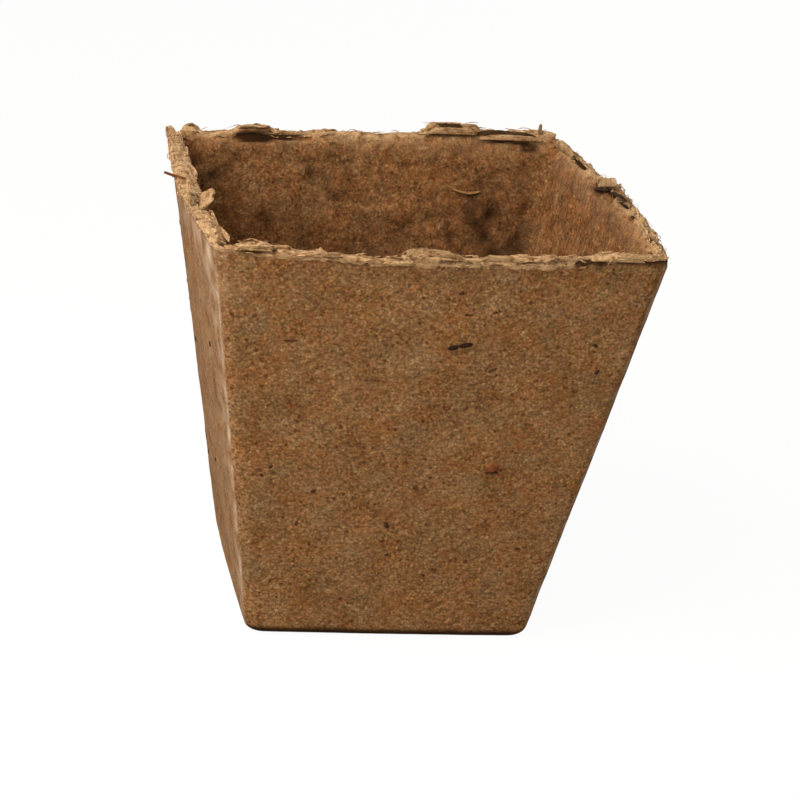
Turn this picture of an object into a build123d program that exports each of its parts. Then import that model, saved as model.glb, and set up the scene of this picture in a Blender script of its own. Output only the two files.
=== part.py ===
from build123d import *
import math
import os

# A square pot pressed from peat and wood fibre, with the coarse bits of wood and bark that lie in its walls.
# Sizes are in millimetres and turns in degrees. +Z is up, the front side faces -Y, and the origin is on the
# standing plane, under the middle of the foot. The four sides are modelled as the front one, then turned about Z.

# The pressed shell
rim_width = 76.0
foot_width = 50.0
rim_height = 77.0
wall = 2.3
floor_thickness = 2.7
rim_bow = 2.0
foot_bow = 0.4
rim_corner_radius = 3.0
foot_corner_radius = 2.6
foot_edge_radius = 2.4
inner_corner_radius = 3.4
inner_floor_radius = 2.2
drain_hole_diameter = 8.0

# The lip is thicker than the wall, inwards and outwards, and its top is torn
lip_height = 2.4
lip_overhang = 0.8
lip_inner_overhang = 0.4
highest_tear = 2.9

# How far each side is turned about Z from the front one
side_turns = {"front": 0, "right": 90, "back": 180, "left": 270}
half_turn = 180

# The tear line of each side, from its left end to its right end as seen from outside.
# Each point is a place along half the side and a height above the even rim, as a share of the highest tear.
front_tear_shares = [
    (-1.00, -0.10),
    (-0.92, 0.16),
    (-0.84, 0.40),
    (-0.79, 0.40),
    (-0.75, 0.06),
    (-0.45, -0.12),
    (-0.19, -0.20),
    (-0.16, 0.22),
    (-0.10, 0.46),
    (0.00, 0.44),
    (0.04, -0.04),
    (0.25, 0.18),
    (0.45, 0.28),
    (0.70, 0.50),
    (0.90, 0.62),
    (1.00, 0.60),
]
right_tear_shares = [
    (-1.00, 0.60),
    (-0.70, 0.66),
    (-0.35, 0.66),
    (-0.06, 0.62),
    (-0.03, 0.40),
    (0.09, 0.46),
    (0.12, 0.74),
    (0.28, 0.68),
    (0.31, 0.30),
    (0.60, 0.26),
    (0.66, 0.04),
    (0.74, 0.28),
    (1.00, 0.30),
]
back_tear_shares = [
    (-1.00, 0.50),
    (-0.92, 0.80),
    (-0.84, 0.96),
    (-0.60, 0.72),
    (-0.56, 0.98),
    (-0.40, 0.94),
    (-0.31, 0.98),
    (-0.28, 0.14),
    (0.05, 0.04),
    (0.12, 0.16),
    (0.20, -0.08),
    (0.50, -0.12),
    (0.58, 0.22),
    (0.66, 0.24),
    (0.74, -0.06),
    (0.88, 0.08),
    (1.00, -0.06),
]
left_tear_shares = [
    (-1.00, -0.06),
    (-0.85, 0.10),
    (-0.66, -0.16),
    (-0.40, 0.04),
    (-0.15, -0.12),
    (0.10, 0.08),
    (0.16, 0.62),
    (0.31, 0.52),
    (0.35, -0.14),
    (0.60, 0.00),
    (0.74, 0.02),
    (0.79, 0.36),
    (0.91, 0.30),
    (0.95, -0.10),
    (1.00, -0.10),
]

rim_tears = {
    "front": front_tear_shares,
    "right": right_tear_shares,
    "back": back_tear_shares,
    "left": left_tear_shares,
}

# Flakes that lean out from the lip: the longest flake, how far it stands out and how far down it reaches.
# Each row is a side, the place along half of it, the height of the flake's top as a share of the highest tear,
# and the flake's length, stand-out and depth as shares of those three sizes.
flake_length = 10.0
flake_stand_out = 0.7
flake_depth = 3.2
flake_shares = [
    ("right", 0.20, 0.72, 0.70, 1.00, 0.80),
    ("back", -0.44, 0.96, 1.00, 0.70, 1.00),
    ("left", 0.24, 0.58, 0.54, 0.60, 0.75),
    ("front", -0.82, 0.40, 0.34, 0.60, 0.62),
    ("front", -0.05, 0.45, 0.64, 0.45, 0.56),
]

# A thin splinter that sticks out of the left rim
splinter_length = 4.8
splinter_root_diameter = 1.0
splinter_tip_diameter = 0.5
splinter_embedded = 2.8
splinter_along_share = 0.0
splinter_below_rim = 0.6
splinter_rise = 19.0

# Bits pressed into the front wall: place along half the side, share of the rim's height, turn, length and width
twig_along_share = 0.15
twig_up_share = 0.775
twig_turn = 20.0
twig_length = 4.0
twig_width = 0.7
twig_thickness = 0.9

chip_along_share = 0.45
chip_up_share = 0.468
chip_turn = 8.0
chip_length = 2.6
chip_width = 2.3
chip_thickness = 1.1

low_sliver_along_share = 0.91
low_sliver_up_share = 0.22
low_sliver_turn = 22.0
low_sliver_length = 2.1
low_sliver_width = 0.6
low_sliver_thickness = 0.8

# A wood shaving that stands a little proud of the inside of the back wall
shaving_along_share = -0.51
shaving_up_share = 0.875
shaving_turn = 7.0
shaving_length = 7.4
shaving_width = 1.3
shaving_thickness = 1.0

# Coarse dark grains: the longest one's length, and the width that goes with it. Each row is a side, the place
# along half of it, the share of the rim's height, and the grain's share of a half turn and of the longest length.
grain_length = 1.3
grain_width = 0.9
grain_thickness = 0.7
grain_shares = [
    ("front", 0.02, 0.41, 0.06, 0.69),
    ("front", -0.81, 0.46, 0.33, 0.69),
    ("front", -0.86, 0.44, -0.11, 0.62),
    ("front", -0.57, 0.40, 0.19, 0.77),
    ("front", -0.67, 0.31, 0.44, 0.69),
    ("front", -0.12, 0.31, -0.36, 1.00),
    ("front", -0.09, 0.23, 0.08, 0.62),
    ("front", 0.09, 0.91, 0.22, 0.77),
    ("front", 0.79, 0.78, -0.17, 0.85),
    ("front", 0.84, 0.72, 0.31, 0.77),
    ("front", 0.74, 0.25, 0.03, 0.77),
    ("front", 0.17, 0.18, -0.22, 0.62),
    ("right", -0.62, 0.66, 0.17, 0.85),
    ("right", -0.20, 0.36, -0.08, 0.69),
    ("right", 0.30, 0.80, 0.39, 0.92),
    ("right", 0.55, 0.22, 0.11, 0.69),
    ("right", 0.70, 0.52, -0.28, 0.77),
    ("back", -0.55, 0.30, 0.22, 0.77),
    ("back", -0.10, 0.72, -0.14, 1.00),
    ("back", 0.34, 0.48, 0.06, 0.69),
    ("back", 0.72, 0.84, 0.36, 0.85),
    ("left", -0.66, 0.24, -0.19, 0.69),
    ("left", -0.28, 0.58, 0.28, 0.92),
    ("left", 0.18, 0.34, 0.03, 0.69),
    ("left", 0.60, 0.70, -0.33, 0.77),
]

# How far a bit stands out of the wall, the room round it in its pocket, and how far cuts run past a face
proud = 0.25
pocket_clearance = 0.05
overrun = 4.0

# Outlines of the bits, counter-clockwise, as shares of their length and width
sliver_shares = [(-0.50, 0.05), (-0.32, -0.36), (0.26, -0.50), (0.50, -0.08), (0.20, 0.38), (-0.24, 0.46)]
chip_shares = [(-0.50, -0.20), (-0.26, -0.44), (0.16, -0.50), (0.50, -0.16), (0.42, 0.30), (0.04, 0.50), (-0.36, 0.34)]

# Worked out from the sizes above
wall_rim_width = rim_width - 2 * lip_overhang
lip_base = rim_height - lip_height
lip_thickness = wall + lip_overhang + lip_inner_overhang
side_lean = (wall_rim_width - foot_width) / 2 / rim_height
bow_gain = (rim_bow - foot_bow) / rim_height
outer_reach = rim_width / 2 + rim_bow + overrun
inner_reach = rim_width / 2 - lip_thickness - overrun


def half_width_at(z):
    """Half the distance between two opposite sides at their corners."""
    return foot_width / 2 + side_lean * z


def bow_at(z):
    """How far the middle of a side bulges past its corners."""
    return foot_bow + bow_gain * z


def bowed_square(z, inset, radius):
    """The pot's level outline at height z, moved inwards by the inset, with four bulging sides."""
    half = half_width_at(z) - inset
    middle = half + bow_at(z)
    side = ThreePointArc((-half, -half), (0, -middle), (half, -half))
    sides = [Rot(0, 0, turn) * side for turn in side_turns.values()]
    outline = make_face(sides)
    return Pos(0, 0, z) * fillet(outline.vertices(), radius)


def outer_shell():
    """The tapered outside, with its rounded foot edge and the thicker lip."""
    body = loft([bowed_square(0, 0, foot_corner_radius), bowed_square(rim_height, 0, rim_corner_radius)], ruled=True)
    foot_edges = body.faces().sort_by(Axis.Z)[0].edges()
    body = fillet(foot_edges, foot_edge_radius)
    lip_outline = bowed_square(rim_height, -lip_overhang, rim_corner_radius + lip_overhang)
    lip = Pos(0, 0, -lip_height) * extrude(lip_outline, lip_height + highest_tear + overrun)
    return body + lip


def cavity():
    """The inside: a tapered hollow with a rounded floor edge, drawn in a little at the lip."""
    low = bowed_square(floor_thickness, wall, inner_corner_radius)
    high = bowed_square(lip_base, wall, inner_corner_radius)
    hollow = loft([low, high], ruled=True)
    hollow = fillet(hollow.faces().sort_by(Axis.Z)[0].edges(), inner_floor_radius)
    mouth = Pos(0, 0, -overrun) * extrude(
        bowed_square(lip_base, wall + lip_inner_overhang, inner_corner_radius),
        overrun + lip_height + highest_tear + 2 * overrun,
    )
    return hollow + mouth


def tear_cut(tear_shares):
    """What is torn away above the front side of the lip."""
    half = rim_width / 2
    line = [(along * half, rim_height + rise * highest_tear) for along, rise in tear_shares]
    sky = rim_height + highest_tear + 2 * overrun
    points = [(-outer_reach, line[0][1]), *line, (outer_reach, line[-1][1]), (outer_reach, sky), (-outer_reach, sky)]
    upright = Plane(origin=(0, -inner_reach, 0), x_dir=(1, 0, 0), z_dir=(0, -1, 0))
    return extrude(upright * Polygon(*points, align=None), outer_reach - inner_reach)


def lip_flake(along_share, rise_share, length, stand_out, depth):
    """A flake that leans out from the top of the front lip, as a wedge that is thickest at its upper edge."""
    along = along_share * rim_width / 2
    top = rim_height + rise_share * highest_tear
    face = half_width_at(rim_height) + lip_overhang + rim_bow * (1 - along_share**2)
    root = face - lip_overhang
    points = [(root, 0), (face, 0), (face + stand_out, depth), (root, depth)]
    profile = Plane(origin=(along + length / 2, 0, top - depth), x_dir=(0, -1, 0), z_dir=(-1, 0, 0))
    return extrude(profile * Polygon(*points, align=None), length)


def wall_plane(along_share, z, turn, inside=False):
    """A plane on the front wall's outer or inner face: x along the side, turned, and z out of the wall."""
    inset = wall if inside else 0
    half = half_width_at(z)
    along = along_share * half
    crown = 1 - along_share**2
    out = half - inset + bow_at(z) * crown
    sideways = 2 * bow_at(z) * along_share / half
    lean = side_lean + bow_gain * crown
    normal = Vector(sideways, -1, -lean).normalized()
    if inside:
        normal = -normal
    level = Vector(0, 0, 1).cross(normal).normalized()
    rising = normal.cross(level)
    angle = math.radians(turn)
    x_dir = level * math.cos(angle) + rising * math.sin(angle)
    return Plane(origin=(along, -out, z), x_dir=x_dir, z_dir=normal)


def bit_outline(shares, length, width):
    """The flat outline of one bit, from its shares."""
    return Polygon(*[(x * length, y * width) for x, y in shares], align=None)


def pressed_in(plane, outline, thickness):
    """A bit set into a wall and standing a little proud of it, with the pocket that it lies in."""
    sunk = thickness - proud
    bit = Pos(0, 0, -sunk) * extrude(outline, thickness)
    room = offset(outline, amount=pocket_clearance)
    pocket = Pos(0, 0, -sunk - pocket_clearance) * extrude(room, thickness + overrun)
    return plane * bit, plane * pocket


def splinter():
    """The tapered splinter that sticks out of the left rim, with the hole that it lies in."""
    z = rim_height - splinter_below_rim
    face = half_width_at(rim_height) + lip_overhang + rim_bow * (1 - splinter_along_share**2)
    start = face - splinter_embedded
    along = splinter_along_share * rim_width / 2
    axis = Plane(origin=(along, -start, z), x_dir=(1, 0, 0), z_dir=Vector(0, -1, math.tan(math.radians(splinter_rise))))
    root = splinter_root_diameter / 2
    tip = splinter_tip_diameter / 2
    stick = axis * loft([Circle(root), Pos(0, 0, splinter_length) * Circle(tip)])
    hole_root = root + pocket_clearance
    hole_tip = tip + pocket_clearance
    hole = loft([Circle(hole_root), Pos(0, 0, splinter_length) * Circle(hole_tip)])
    hole += Pos(0, 0, -pocket_clearance) * extrude(Circle(hole_root), pocket_clearance)
    return stick, axis * hole


def build():
    """All the pieces by name. The pot comes last, cut to take the bits."""
    pieces = {}
    pockets = []

    def keep(name, side, piece, pocket):
        """Turns a bit and its pocket to their side."""
        turned = Rot(0, 0, side_turns[side])
        pieces.setdefault(name, []).append(turned * piece)
        pockets.append(turned * pocket)

    keep("rim_splinter", "left", *splinter())

    twig = bit_outline(sliver_shares, twig_length, twig_width)
    plane = wall_plane(twig_along_share, twig_up_share * rim_height, twig_turn)
    keep("twig_sliver", "front", *pressed_in(plane, twig, twig_thickness))

    chip = bit_outline(chip_shares, chip_length, chip_width)
    plane = wall_plane(chip_along_share, chip_up_share * rim_height, chip_turn)
    keep("bark_chip", "front", *pressed_in(plane, chip, chip_thickness))

    low = bit_outline(sliver_shares, low_sliver_length, low_sliver_width)
    plane = wall_plane(low_sliver_along_share, low_sliver_up_share * rim_height, low_sliver_turn)
    keep("low_sliver", "front", *pressed_in(plane, low, low_sliver_thickness))

    shaving = bit_outline(sliver_shares, shaving_length, shaving_width)
    plane = wall_plane(shaving_along_share, shaving_up_share * rim_height, shaving_turn, inside=True)
    keep("inner_shaving", "back", *pressed_in(plane, shaving, shaving_thickness))

    for side, along_share, up_share, turn_share, length_share in grain_shares:
        grain = bit_outline(chip_shares, grain_length * length_share, grain_width * length_share)
        plane = wall_plane(along_share, up_share * rim_height, turn_share * half_turn)
        keep("peat_grains", side, *pressed_in(plane, grain, grain_thickness))

    pot = outer_shell()
    for side, along_share, rise_share, length_share, stand_out_share, depth_share in flake_shares:
        sizes = flake_length * length_share, flake_stand_out * stand_out_share, flake_depth * depth_share
        pot += Rot(0, 0, side_turns[side]) * lip_flake(along_share, rise_share, *sizes)
    pot -= cavity()
    for side, tear_shares in rim_tears.items():
        pot -= Rot(0, 0, side_turns[side]) * tear_cut(tear_shares)
    pot -= Pos(0, 0, -overrun) * extrude(Circle(drain_hole_diameter / 2), floor_thickness + 2 * overrun)
    for pocket in pockets:
        pot -= pocket
    pieces["pot_body"] = [pot]
    return pieces


os.makedirs("parts", exist_ok=True)
for name, pieces in build().items():
    node = pieces[0] if len(pieces) == 1 else Compound(children=[piece.solid() for piece in pieces])
    export_step(node, os.path.join("parts", name + ".step"))
    print(name, round(node.volume, 2))
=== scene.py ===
"""The looks of a square pot pressed from peat and wood fibre, as a Blender add-on that runs as a script.

Every size is in metres, written as millimetres times MM. +Z is up, the front side faces -Y, and the
origin is on the standing plane under the middle of the foot. A place on the pot is a side, a distance along
that side from its middle (rightwards as seen from outside), a height, and a distance out of the wall's true
outer face.
"""
import math
import random

import bmesh
import bpy
from bpy.props import FloatProperty, FloatVectorProperty, IntProperty, PointerProperty
from mathutils import Matrix, Vector, noise


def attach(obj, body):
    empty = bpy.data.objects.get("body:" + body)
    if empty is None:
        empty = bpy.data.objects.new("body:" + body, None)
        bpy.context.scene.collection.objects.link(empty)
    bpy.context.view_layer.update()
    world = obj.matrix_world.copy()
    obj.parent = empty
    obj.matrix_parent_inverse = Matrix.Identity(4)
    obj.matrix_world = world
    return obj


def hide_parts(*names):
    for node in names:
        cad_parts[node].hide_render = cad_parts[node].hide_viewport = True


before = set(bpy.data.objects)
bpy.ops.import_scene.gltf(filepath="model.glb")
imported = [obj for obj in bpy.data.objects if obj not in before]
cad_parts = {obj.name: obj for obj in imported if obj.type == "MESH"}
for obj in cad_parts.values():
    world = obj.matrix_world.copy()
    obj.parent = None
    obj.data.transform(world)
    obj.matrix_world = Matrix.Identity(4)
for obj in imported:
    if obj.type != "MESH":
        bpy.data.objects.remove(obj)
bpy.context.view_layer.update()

bl_info = {
    "name": "Peat pot",
    "version": (1, 0, 0),
    "blender": (4, 5, 0),
    "location": "View3D > Sidebar > Peat pot",
    "description": "Builds the felt shell, torn lip, flakes, fibres and wood bits of a pressed peat pot",
    "category": "Object",
}

MM = 0.001
MERGE = 0.001 * MM
UP = Vector((0, 0, 1))

# The sides in order round the pot, with their turn about Z from the front one
SIDE_TURNS = {"front": 0, "right": 90, "back": 180, "left": 270}
SIDES = list(SIDE_TURNS)

# The rim isn't quite square: how far each corner has crept, in millimetres, by the signs of its X and Y
CORNER_CREEP = {
    (-1, -1): (-0.2, 0.1, -0.6),
    (1, -1): (1.35, -0.9, 0.9),
    (1, 1): (0.5, 0.3, 0.1),
    (-1, 1): (-0.5, -0.2, -1.1),
}

# How far out a point still follows a wall's bow, as a share of half the width, and how much more the left
# end of the foot's front stands back than its middle, as a share
BOW_REACH = 1.1
SETBACK_SKEW = 0.3

# How far apart the points lie that give a place its directions
STEP = 0.5 * MM

# The torn crest of the lip, each side from its left end as seen from outside: place as a share of half
# the side, and rise above the even rim in millimetres
CREST = {
    "front": [
        (-1.00, 0.0), (-0.92, 0.0), (-0.83, 0.3), (-0.78, 0.4), (-0.75, -0.1), (-0.62, -0.6), (-0.45, -1.1),
        (-0.28, -1.5), (-0.195, -1.4), (-0.18, -0.8), (-0.13, 0.1), (-0.06, -0.2), (0.01, -0.7),
        (0.06, -1.2), (0.13, -1.0), (0.24, -0.7), (0.45, -0.7), (0.60, -0.4), (0.67, 0.1), (0.77, 0.4),
        (0.90, 0.1), (1.00, -0.3),
    ],
    "right": [
        (-0.97, -0.9), (-0.90, -0.5), (-0.82, -0.4), (-0.71, -0.4), (-0.50, -0.2), (-0.29, 0.1),
        (-0.01, 0.3), (0.10, 0.9), (0.16, 1.0), (0.22, 0.2), (0.41, -0.5), (0.61, -0.3), (0.82, -0.1),
        (0.95, 0.2),
    ],
    "back": [
        (-0.96, 1.2), (-0.90, 1.8), (-0.80, 1.8), (-0.67, 1.4), (-0.57, 1.6), (-0.545, 2.3), (-0.48, 2.4),
        (-0.36, 2.4), (-0.31, 2.3), (-0.295, 1.4), (-0.27, 0.4), (-0.06, -0.2), (0.09, 0.1), (0.24, 0.1),
        (0.39, -0.2), (0.52, 0.3), (0.58, 0.9), (0.65, 0.7), (0.70, -0.1), (0.82, -0.3), (0.89, 0.8),
        (0.915, 0.7), (0.97, -0.7),
    ],
    "left": [
        (-0.97, -0.6), (-0.90, -0.1), (-0.78, 0.3), (-0.55, 0.4), (-0.30, 0.3), (-0.05, 0.2), (0.11, -0.1),
        (0.20, 0.2), (0.24, 0.7), (0.36, 0.6), (0.42, 0.0), (0.55, 0.1), (0.74, 0.5), (0.88, 0.3),
        (0.94, -0.2),
    ],
}

# The lip's lower edge in the same way, as a rise in millimetres
HEM = {
    "front": [
        (-0.98, -1.1), (-0.54, -2.0), (-0.25, -2.7), (0.02, -2.4), (0.26, -2.7), (0.42, -2.6), (0.58, -2.1),
        (0.68, -1.6), (0.80, -1.3), (0.92, -1.0),
    ],
    "right": [(-0.95, -1.1), (-0.60, -1.9), (-0.20, -1.5), (0.30, -2.2), (0.70, -1.6)],
    "back": [(-0.90, -1.4), (-0.50, -2.2), (0.00, -1.8), (0.45, -2.4), (0.90, -1.6)],
    "left": [
        (-0.90, -1.7), (-0.45, -1.3), (0.00, -1.4), (0.20, -0.8), (0.45, -0.5), (0.80, -0.5), (0.94, -0.9),
    ],
}

# How wide the torn top of the lip is in the same way, as a share of the wall
WIDTH_SHARES = {
    "front": [(-0.90, 1.20), (-0.60, 1.00), (0.50, 0.95), (0.90, 0.75)],
    "right": [(-0.80, 0.55), (0.00, 0.60), (0.80, 0.60)],
    "back": [(-0.80, 0.60), (-0.20, 0.60), (0.30, 0.65), (0.80, 0.90)],
    "left": [(-0.90, 1.10), (-0.60, 1.30), (-0.20, 1.48), (0.20, 1.45), (0.60, 1.40), (0.90, 1.25)],
}

# How far the lip is drawn in from the wall's face in the same way, in millimetres
DRAWN_IN = {
    "front": [(0.00, 0.0), (0.84, 0.0), (0.98, 0.8)],
    "right": [(-0.98, 0.9), (-0.80, 0.3), (-0.50, 0.0), (0.00, 0.0)],
    "back": [(0.00, 0.0)],
    "left": [(0.00, 0.0)],
}

# The lip's section, once round from its hidden root: out of the wall's face and up in millimetres, the
# shares of the crest's and the lower edge's rise that it follows, how torn it is, and how much it shares
# the inside's lumps
LIP_SECTION = [
    (-1.20, -5.8, 0.0, 0.0, 0.00, 0.5), (-0.80, -1.4, 0.0, 1.0, 0.00, 0.0),
    (-0.30, -0.6, 0.0, 1.0, 0.30, 0.0), (0.06, 0.0, 0.1, 0.95, 0.95, 0.0),
    (0.28, 0.1, 0.35, 0.6, 1.00, 0.0), (0.30, 0.0, 0.7, 0.3, 1.00, 0.0),
    (0.08, -0.25, 0.95, 0.05, 1.00, 0.0), (-0.35, -0.02, 1.0, 0.0, 1.00, 0.1),
    (-0.95, 0.05, 1.0, 0.0, 1.00, 0.2), (-1.50, -0.05, 1.0, 0.0, 1.00, 0.4),
    (-2.05, -0.35, 0.95, 0.0, 0.90, 0.6), (-2.40, -1.0, 0.75, 0.0, 0.45, 0.9),
    (-2.50, -2.0, 0.4, 0.0, 0.18, 1.0), (-2.48, -3.4, 0.1, 0.0, 0.05, 1.0),
    (-2.36, -4.9, 0.0, 0.0, 0.00, 1.0), (-2.05, -6.0, 0.0, 0.0, 0.00, 1.0),
    (-1.60, -6.4, 0.0, 0.0, 0.00, 0.8),
]

# The shell's points: columns on a side and on a corner, and rows on the underside, the foot's round edge,
# a wall, the floor's round edge, the floor, and the drain hole
SHELL_SIDE_COLUMNS = 92
SHELL_CORNER_COLUMNS = 8
UNDERSIDE_ROWS = 12
FOOT_ROWS = 9
WALL_ROWS = 94
FLOOR_EDGE_ROWS = 6
FLOOR_ROWS = 15
HOLE_ROWS = 4

# How many degrees the foot's round edge covers, and how lumpy the underside is as a share of the outside
FOOT_ARC = 82
UNDERSIDE_LUMPS = 0.3

# How far below the even rim the shell's walls end under the lip, how far its hidden top rises above that,
# and how far below the rim it starts to follow the lip
SHELL_END = 1.2 * MM
SHELL_CROWN = 0.6 * MM
RIM_ZONE = 10 * MM

# How high the painted contact shadow along the foot's edge reaches, how dark it is, how sharply that shadow
# and the pale wear and sheen end where the underside begins, and how near a wall a mark has to be to shape it
FOOT_SHADOW_HEIGHT = 2.3 * MM
FOOT_SHADOW_DARKNESS = 2.6
UNDERSIDE_FADE = 20
MARK_REACH = 3.0 * MM

# The pale patches of the outside, wear on the corners and a painted sheen of grazing light on the left side:
# the size of the patches, how many columns of the shell the left side is pale for beside its front corner and
# fades in for at its back one, and how far it is pale about the rim
SHEEN_AND_WEAR_PATCH = 3 * MM
PALE_COLUMNS = 30
FADE_COLUMNS = 12
PALE_REACH = 26 * MM

# The lip's points: columns on a side and on a corner, and rows once round its section
LIP_NUMBERS = ("torn", "painted_shade", "inner")
LIP_SIDE_COLUMNS = 320
LIP_CORNER_COLUMNS = 16
LIP_ROWS = 46

# The least radius of the lip's corners, and how far a corner moves along each axis when it moves out by one
LEAST_RADIUS = 0.3 * MM
DIAGONAL = 0.7

# How deep in the lip its outer part reaches, which keeps its width
LIP_FACE = 0.3 * MM

# The parted layers of the lip: how thick a layer is, how long its streaks are, how many steps a streak
# has, and how far steps, fibres and crumbs stand out
LAYER = 0.9 * MM
STREAK = 4 * MM
LAYER_STEPS = 4
STEP_RISE = 0.26
FIBRE_RISE = 0.14
CRUMB_RISE = 0.12

# How thick the part of the lip is that a pit reaches, and how deep a pit has to be for its painted shade to
# be full
PIT_REACH = 3.0 * MM
DARK_PIT = 0.7 * MM

# Pits and slots in the lip, by side: along, up from the even rim, out, then length, height and depth, in
# millimetres. Each is darkened with painted shade as deep as it is.
LIP_PITS = [
    ("back", [
        (22.0, -0.9, -2.3, 8.5, 1.35, 2.4), (15.5, -0.8, -2.3, 10.0, 0.8, 1.8),
        (-15.5, 0.4, -2.2, 10.5, 0.45, 1.4), (-26.5, -0.2, -2.2, 12.0, 0.45, 1.3),
        (-30.8, -1.2, -2.4, 3.8, 1.1, 1.1),
    ]),
    ("right", [
        (23.5, -0.2, -1.8, 9.5, 0.9, 1.6), (9.5, -1.5, -2.2, 7.5, 1.2, 2.0),
        (3.0, -0.7, -1.9, 8.0, 1.1, 2.0), (-4.5, 0.0, -1.2, 8.0, 0.8, 1.5),
        (-12.0, -0.6, -2.0, 3.0, 0.9, 0.8), (-25.5, -0.3, -1.8, 3.4, 0.8, 0.9),
    ]),
    ("left", [
        (8.5, 0.1, -2.0, 4.4, 1.6, 1.7), (12.5, 0.1, -1.6, 5.0, 1.0, 1.3), (26.3, 0.0, -2.6, 2.0, 0.9, 1.1),
        (36.0, 0.0, -2.2, 2.6, 0.9, 1.6), (-27.0, 0.3, -1.2, 2.0, 1.0, 0.6),
        (-19.0, 0.3, -1.4, 1.2, 0.8, 0.6),
    ]),
    ("front", [
        (-37.2, 0.1, 0.8, 2.6, 0.5, 2.2), (-31.5, -1.0, 0.3, 6.4, 0.6, 0.9),
        (-28.4, -0.1, 0.1, 1.0, 1.4, 0.9), (22.6, -1.0, 0.3, 3.0, 1.5, 2.3),
        (25.4, -1.5, 0.3, 3.4, 0.8, 1.8), (2.5, -1.5, 0.3, 9.0, 0.45, 0.7),
        (-9.0, -1.3, 0.3, 8.0, 0.4, 0.6), (-20.0, -1.4, 0.3, 6.0, 0.4, 0.5),
        (14.0, -1.4, 0.3, 7.0, 0.4, 0.6), (31.0, -1.3, 0.3, 12.0, 0.8, 0.5),
    ]),
]

# Hollows, slits, ridges and broad dark patches of the walls, by side and whether they are inside: along and
# height of the middle, turn in degrees, length, width, depth (below nothing for a ridge), and how dark it is.
# The darkness is painted shade: in hollows and slits, under the shaving and the bark chip, and in a band
# below the front lip; the broad patches inside the back paint shade on its lower part and darken it towards
# its right end.
WALL_MARKS = [
    (("back", True), [
        (-18.8, 66.3, -8, 8.6, 2.0, 0.60, 0.6), (-18.6, 73.7, 0, 2.8, 2.0, 0.40, 0.7),
        (-17.2, 69.4, 0, 1.6, 1.4, 0.30, 0.6), (10.7, 69.7, 5, 4.4, 1.5, 0.45, 0.6),
        (5.5, 66.8, 0, 6.0, 1.8, -0.45, 0.0), (5.5, 65.0, 0, 6.4, 1.8, 0.45, 0.5),
        (-8.5, 60.3, 0, 3.8, 2.2, 0.50, 0.4), (-1.3, 61.6, 0, 3.6, 2.0, 0.50, 0.4),
        (-24.4, 63.0, 0, 4.6, 3.0, 0.55, 0.3), (-24.2, 66.0, 0, 4.4, 2.0, -0.40, 0.0),
        (-24.2, 58.8, 0, 4.4, 2.6, 0.40, 0.3), (-13.5, 62.0, 0, 6.0, 2.4, 0.40, 0.3),
        (-20.0, 61.5, 10, 5.0, 2.0, -0.35, 0.0), (33.2, 71.5, 0, 5.0, 3.0, 0.40, 0.5),
        (29.7, 69.0, 0, 6.0, 3.0, 0.40, 0.4), (20.0, 61.0, 0, 7.0, 2.6, 0.45, 0.3),
        (27.0, 63.5, -8, 6.0, 2.4, -0.35, 0.0), (-27.0, 62.0, 0, 34.0, 44.0, 0.0, 0.34),
        (-6.0, 44.0, 0, 100.0, 52.0, 0.0, 0.40), (21.4, 76.1, 0, 11.0, 4.2, 1.0, 1.7),
        (16.6, 76.2, 0, 8.0, 2.4, 0.7, 1.4), (-30.4, 75.5, 0, 4.6, 3.4, 0.5, 1.6),
    ]),
    (("right", True), [
        (9.0, 75.9, 14, 10.0, 2.8, 0.8, 1.6),
    ]),
    (("front", False), [
        (22.8, 76.0, 0, 3.0, 3.2, 0.6, 1.6), (25.6, 75.8, 0, 3.2, 2.2, 0.5, 1.3),
        (13.4, 35.0, -4, 3.4, 1.5, 0.3, 1.1), (-8.0, 73.4, 0, 34.0, 3.6, 0.0, 0.14),
        (30.0, 73.6, 0, 18.0, 3.6, 0.0, 0.26),
    ]),
]


# Sizes in the felt: its coarse and fine grains, the gaps among them, its specks, and how far they wander
COARSE_GRAIN = 0.74 * MM
FINE_GRAIN = 0.40 * MM
GRAIN_GAP = 0.54 * MM
SPECK = 0.95 * MM
WANDER_SIZE = 0.5 * MM
WANDER_REACH = 0.45 * MM

# The print of the mould's woven wire: its pitch, the turn of its bands and the turn that brings them to
# all four sides, in degrees, and how many radians Blender's wave goes through over one metre at a scale
# of 1
WIRE_PITCH = 1.05 * MM
WIRE_TILT = 62
WIRE_TURN = 45
WAVE_RADIANS = 20

# The heights of the felt's bumps: of the wire's print, of grain and threads, and on the torn lip
WIRE_BUMP = 0.10 * MM
FELT_BUMP = 0.30 * MM
TORN_BUMP = 0.25 * MM


def linear(level):
    """A level read by eye as 0 to 255, in the linear light that materials use."""
    share = level / 255
    return share / 12.92 if level <= 10 else ((share + 0.055) / 1.055) ** 2.4


def size(name, text, millimetres):
    """A length that the panel shows."""
    return FloatProperty(
        name=name, description=text, default=millimetres * MM, min=0, unit="LENGTH", precision=4,
    )


def amount(name, text, number):
    """A number of things that the panel shows."""
    return IntProperty(name=name, description=text, default=number, min=0)


def tint(name, text, *levels):
    """A colour that the panel shows, from its red, green and blue levels."""
    colour = [linear(level) for level in levels]
    return FloatVectorProperty(
        name=name, description=text, default=colour, size=3, subtype="COLOR", min=0, max=1,
    )


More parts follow.
